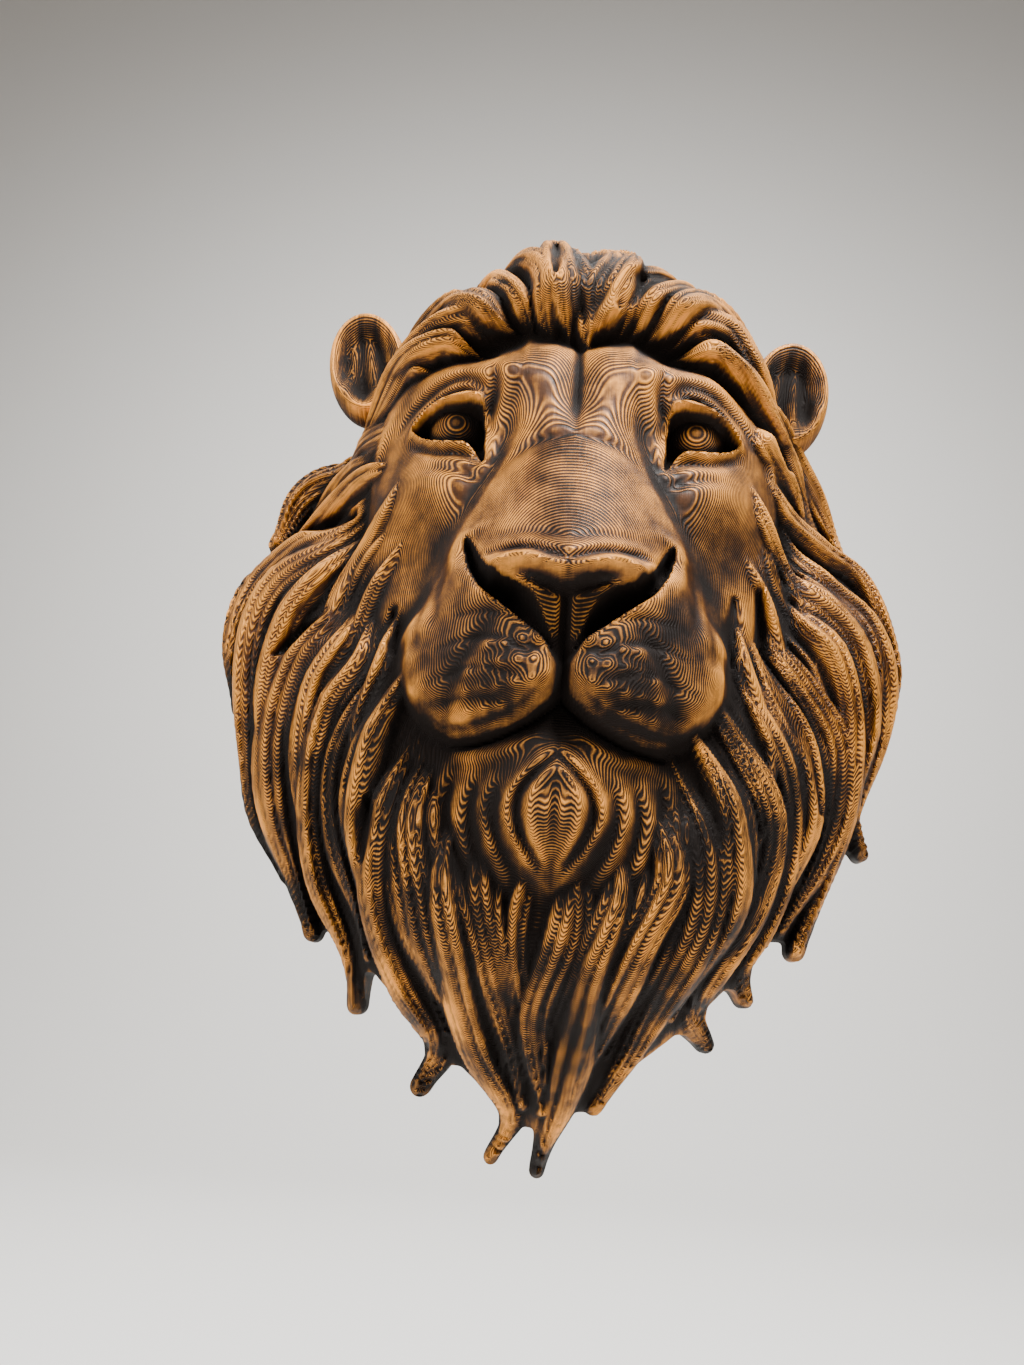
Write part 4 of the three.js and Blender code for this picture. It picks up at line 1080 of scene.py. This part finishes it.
    relief = plus(math_node("MULTIPLY", lines, 0.5), (streaks, 1.6), (speck, 0.3))
    bump = add(tree, "ShaderNodeBump", {"Strength": 0.55, "Distance": 0.25 * MM, "Height": relief})
    rough = ramp_up(plus(hollow, (blotches, 0.5)), -0.1, 0.8, 0.5)
    shader = add(tree, "ShaderNodeBsdfPrincipled", {
        "Base Color": colour,
        "Metallic": 0.25,
        "Specular IOR Level": 0.3,
        "Roughness": math_node("ADD", rough, 0.42),
        "Normal": bump.outputs[0],
    })
    add(tree, "ShaderNodeOutputMaterial", {"Surface": shader.outputs[0]})
    return material


class MASK_OT_studio(bpy.types.Operator):
    """Build the pale floor and backdrop, the soft lights and the camera"""

    bl_idname = "mask.studio"
    bl_label = "Studio"

    # The camera as found from the photograph: millimetres off the wall, degrees of pitch, yaw and roll
    CAMERA_PLACE = (0.0, -245.0, -78.0)
    PITCH, YAW, ROLL = 17.5, 2.9, 4.1
    LENS = 27.03
    SWEEP_RADIUS = 1.2
    SWEEP_TURNS = 16

    def execute(self, context):
        sizes = context.scene.lion_mask
        self.sweep(sizes.floor_drop)
        self.lights(sizes.key_power)
        self.camera(context)
        return {"FINISHED"}

    def sweep(self, drop):
        """A floor that curves up into a backdrop well behind the mask."""
        deselect()
        bpy.ops.mesh.primitive_plane_add(size=1, location=(0, -0.6, -drop))
        bpy.ops.transform.resize(value=(9, 5, 1))
        floor = bpy.context.object
        floor.name = floor.data.name = "floor_sweep"
        bpy.ops.object.transform_apply(location=True, rotation=True, scale=True)
        mesh = floor.data
        chord = 2 * self.SWEEP_RADIUS * math.sin(math.pi / 4 / self.SWEEP_TURNS)
        angles = [(k + 0.5) * math.pi / 2 / self.SWEEP_TURNS for k in range(self.SWEEP_TURNS)]
        moves = [(0, chord * math.cos(angle), chord * math.sin(angle)) for angle in angles]
        rim = np.abs(coords(mesh)[:, 1] - coords(mesh)[:, 1].max()) < 1e-5
        for move in (*moves, (0, 0, 4)):
            select_vertices(mesh, rim)
            enter("EDIT")
            bpy.ops.mesh.select_mode(type="VERT")
            bpy.ops.mesh.extrude_region_move(TRANSFORM_OT_translate={"value": move})
            enter("OBJECT")
            rim = np.arange(len(mesh.vertices)) >= len(mesh.vertices) - 2
        bpy.ops.object.shade_smooth()
        material = bpy.data.materials.new("matt white paper")
        material.use_nodes = True
        shader = material.node_tree.nodes["Principled BSDF"]
        shader.inputs["Base Color"].default_value = (*linear("#E9E7E3"), 1)
        shader.inputs["Roughness"].default_value = 0.9
        mesh.materials.append(material)

    def lights(self, power):
        world = bpy.data.worlds.new("studio air")
        world.use_nodes = True
        sky = world.node_tree.nodes["Background"]
        sky.inputs["Color"].default_value = (*linear("#FFF3E6"), 1)
        sky.inputs["Strength"].default_value = 0.2
        bpy.context.scene.world = world
        rows = (
            ("key", (0.3, -0.5, 0.86), 0.35, power),
            ("fill", (-0.9, -0.6, 0.45), 0.7, 0.38 * power),
            ("backdrop", (0.0, 0.6, 1.6), 2.0, 4.2 * power),
        )
        for name, place, size, watts in rows:
            lamp = bpy.data.lights.new(name, "AREA")
            lamp.size = size
            lamp.energy = watts
            holder = bpy.data.objects.new(name, lamp)
            bpy.context.collection.objects.link(holder)
            holder.location = place
            goal = Vector((0, 0, 0)) if name != "backdrop" else Vector((0, 2.4, 0.6))
            holder.rotation_euler = (goal - Vector(place)).to_track_quat("-Z", "Y").to_euler()

    def camera(self, context):
        pitch, yaw, roll = (math.radians(a) for a in (self.PITCH, self.YAW, self.ROLL))
        ahead = Vector((-math.sin(yaw) * math.cos(pitch), math.cos(yaw) * math.cos(pitch), math.sin(pitch)))
        right = ahead.cross(Vector((0, 0, 1))).normalized()
        up = right.cross(ahead)
        level_right = right * math.cos(roll) + up * math.sin(roll)
        level_up = up * math.cos(roll) - right * math.sin(roll)
        lens = bpy.data.cameras.new("photograph")
        lens.lens = self.LENS
        lens.clip_start = 0.01
        holder = bpy.data.objects.new("photograph", lens)
        context.collection.objects.link(holder)
        turn = Matrix((level_right, level_up, -ahead)).transposed()
        holder.matrix_world = Matrix.Translation(Vector(self.CAMERA_PLACE) * MM) @ turn.to_4x4()
        context.scene.camera = holder


class MASK_PT_panel(bpy.types.Panel):
    """Steps and sizes of the lion head mask"""

    bl_label = "Lion Mask"
    bl_idname = "MASK_PT_panel"
    bl_space_type = "VIEW_3D"
    bl_region_type = "UI"
    bl_category = "Lion Mask"

    def draw(self, context):
        sizes = context.scene.lion_mask
        for name in MaskSettings.__annotations__:
            self.layout.prop(sizes, name)
        for step in STEPS:
            self.layout.operator(step.bl_idname)


STEPS = (MASK_OT_carve_head, MASK_OT_shape_ears, MASK_OT_paint, MASK_OT_studio)
CLASSES = (MaskSettings, *STEPS, MASK_PT_panel)


def register():
    for entry in CLASSES:
        bpy.utils.register_class(entry)
    bpy.types.Scene.lion_mask = PointerProperty(type=MaskSettings)


def unregister():
    del bpy.types.Scene.lion_mask
    for entry in reversed(CLASSES):
        bpy.utils.unregister_class(entry)


def main():
    register()
    bpy.ops.mask.carve_head()
    bpy.ops.mask.shape_ears()
    bpy.ops.mask.paint()
    bpy.ops.mask.studio()


if __name__ == "__main__":
    main()
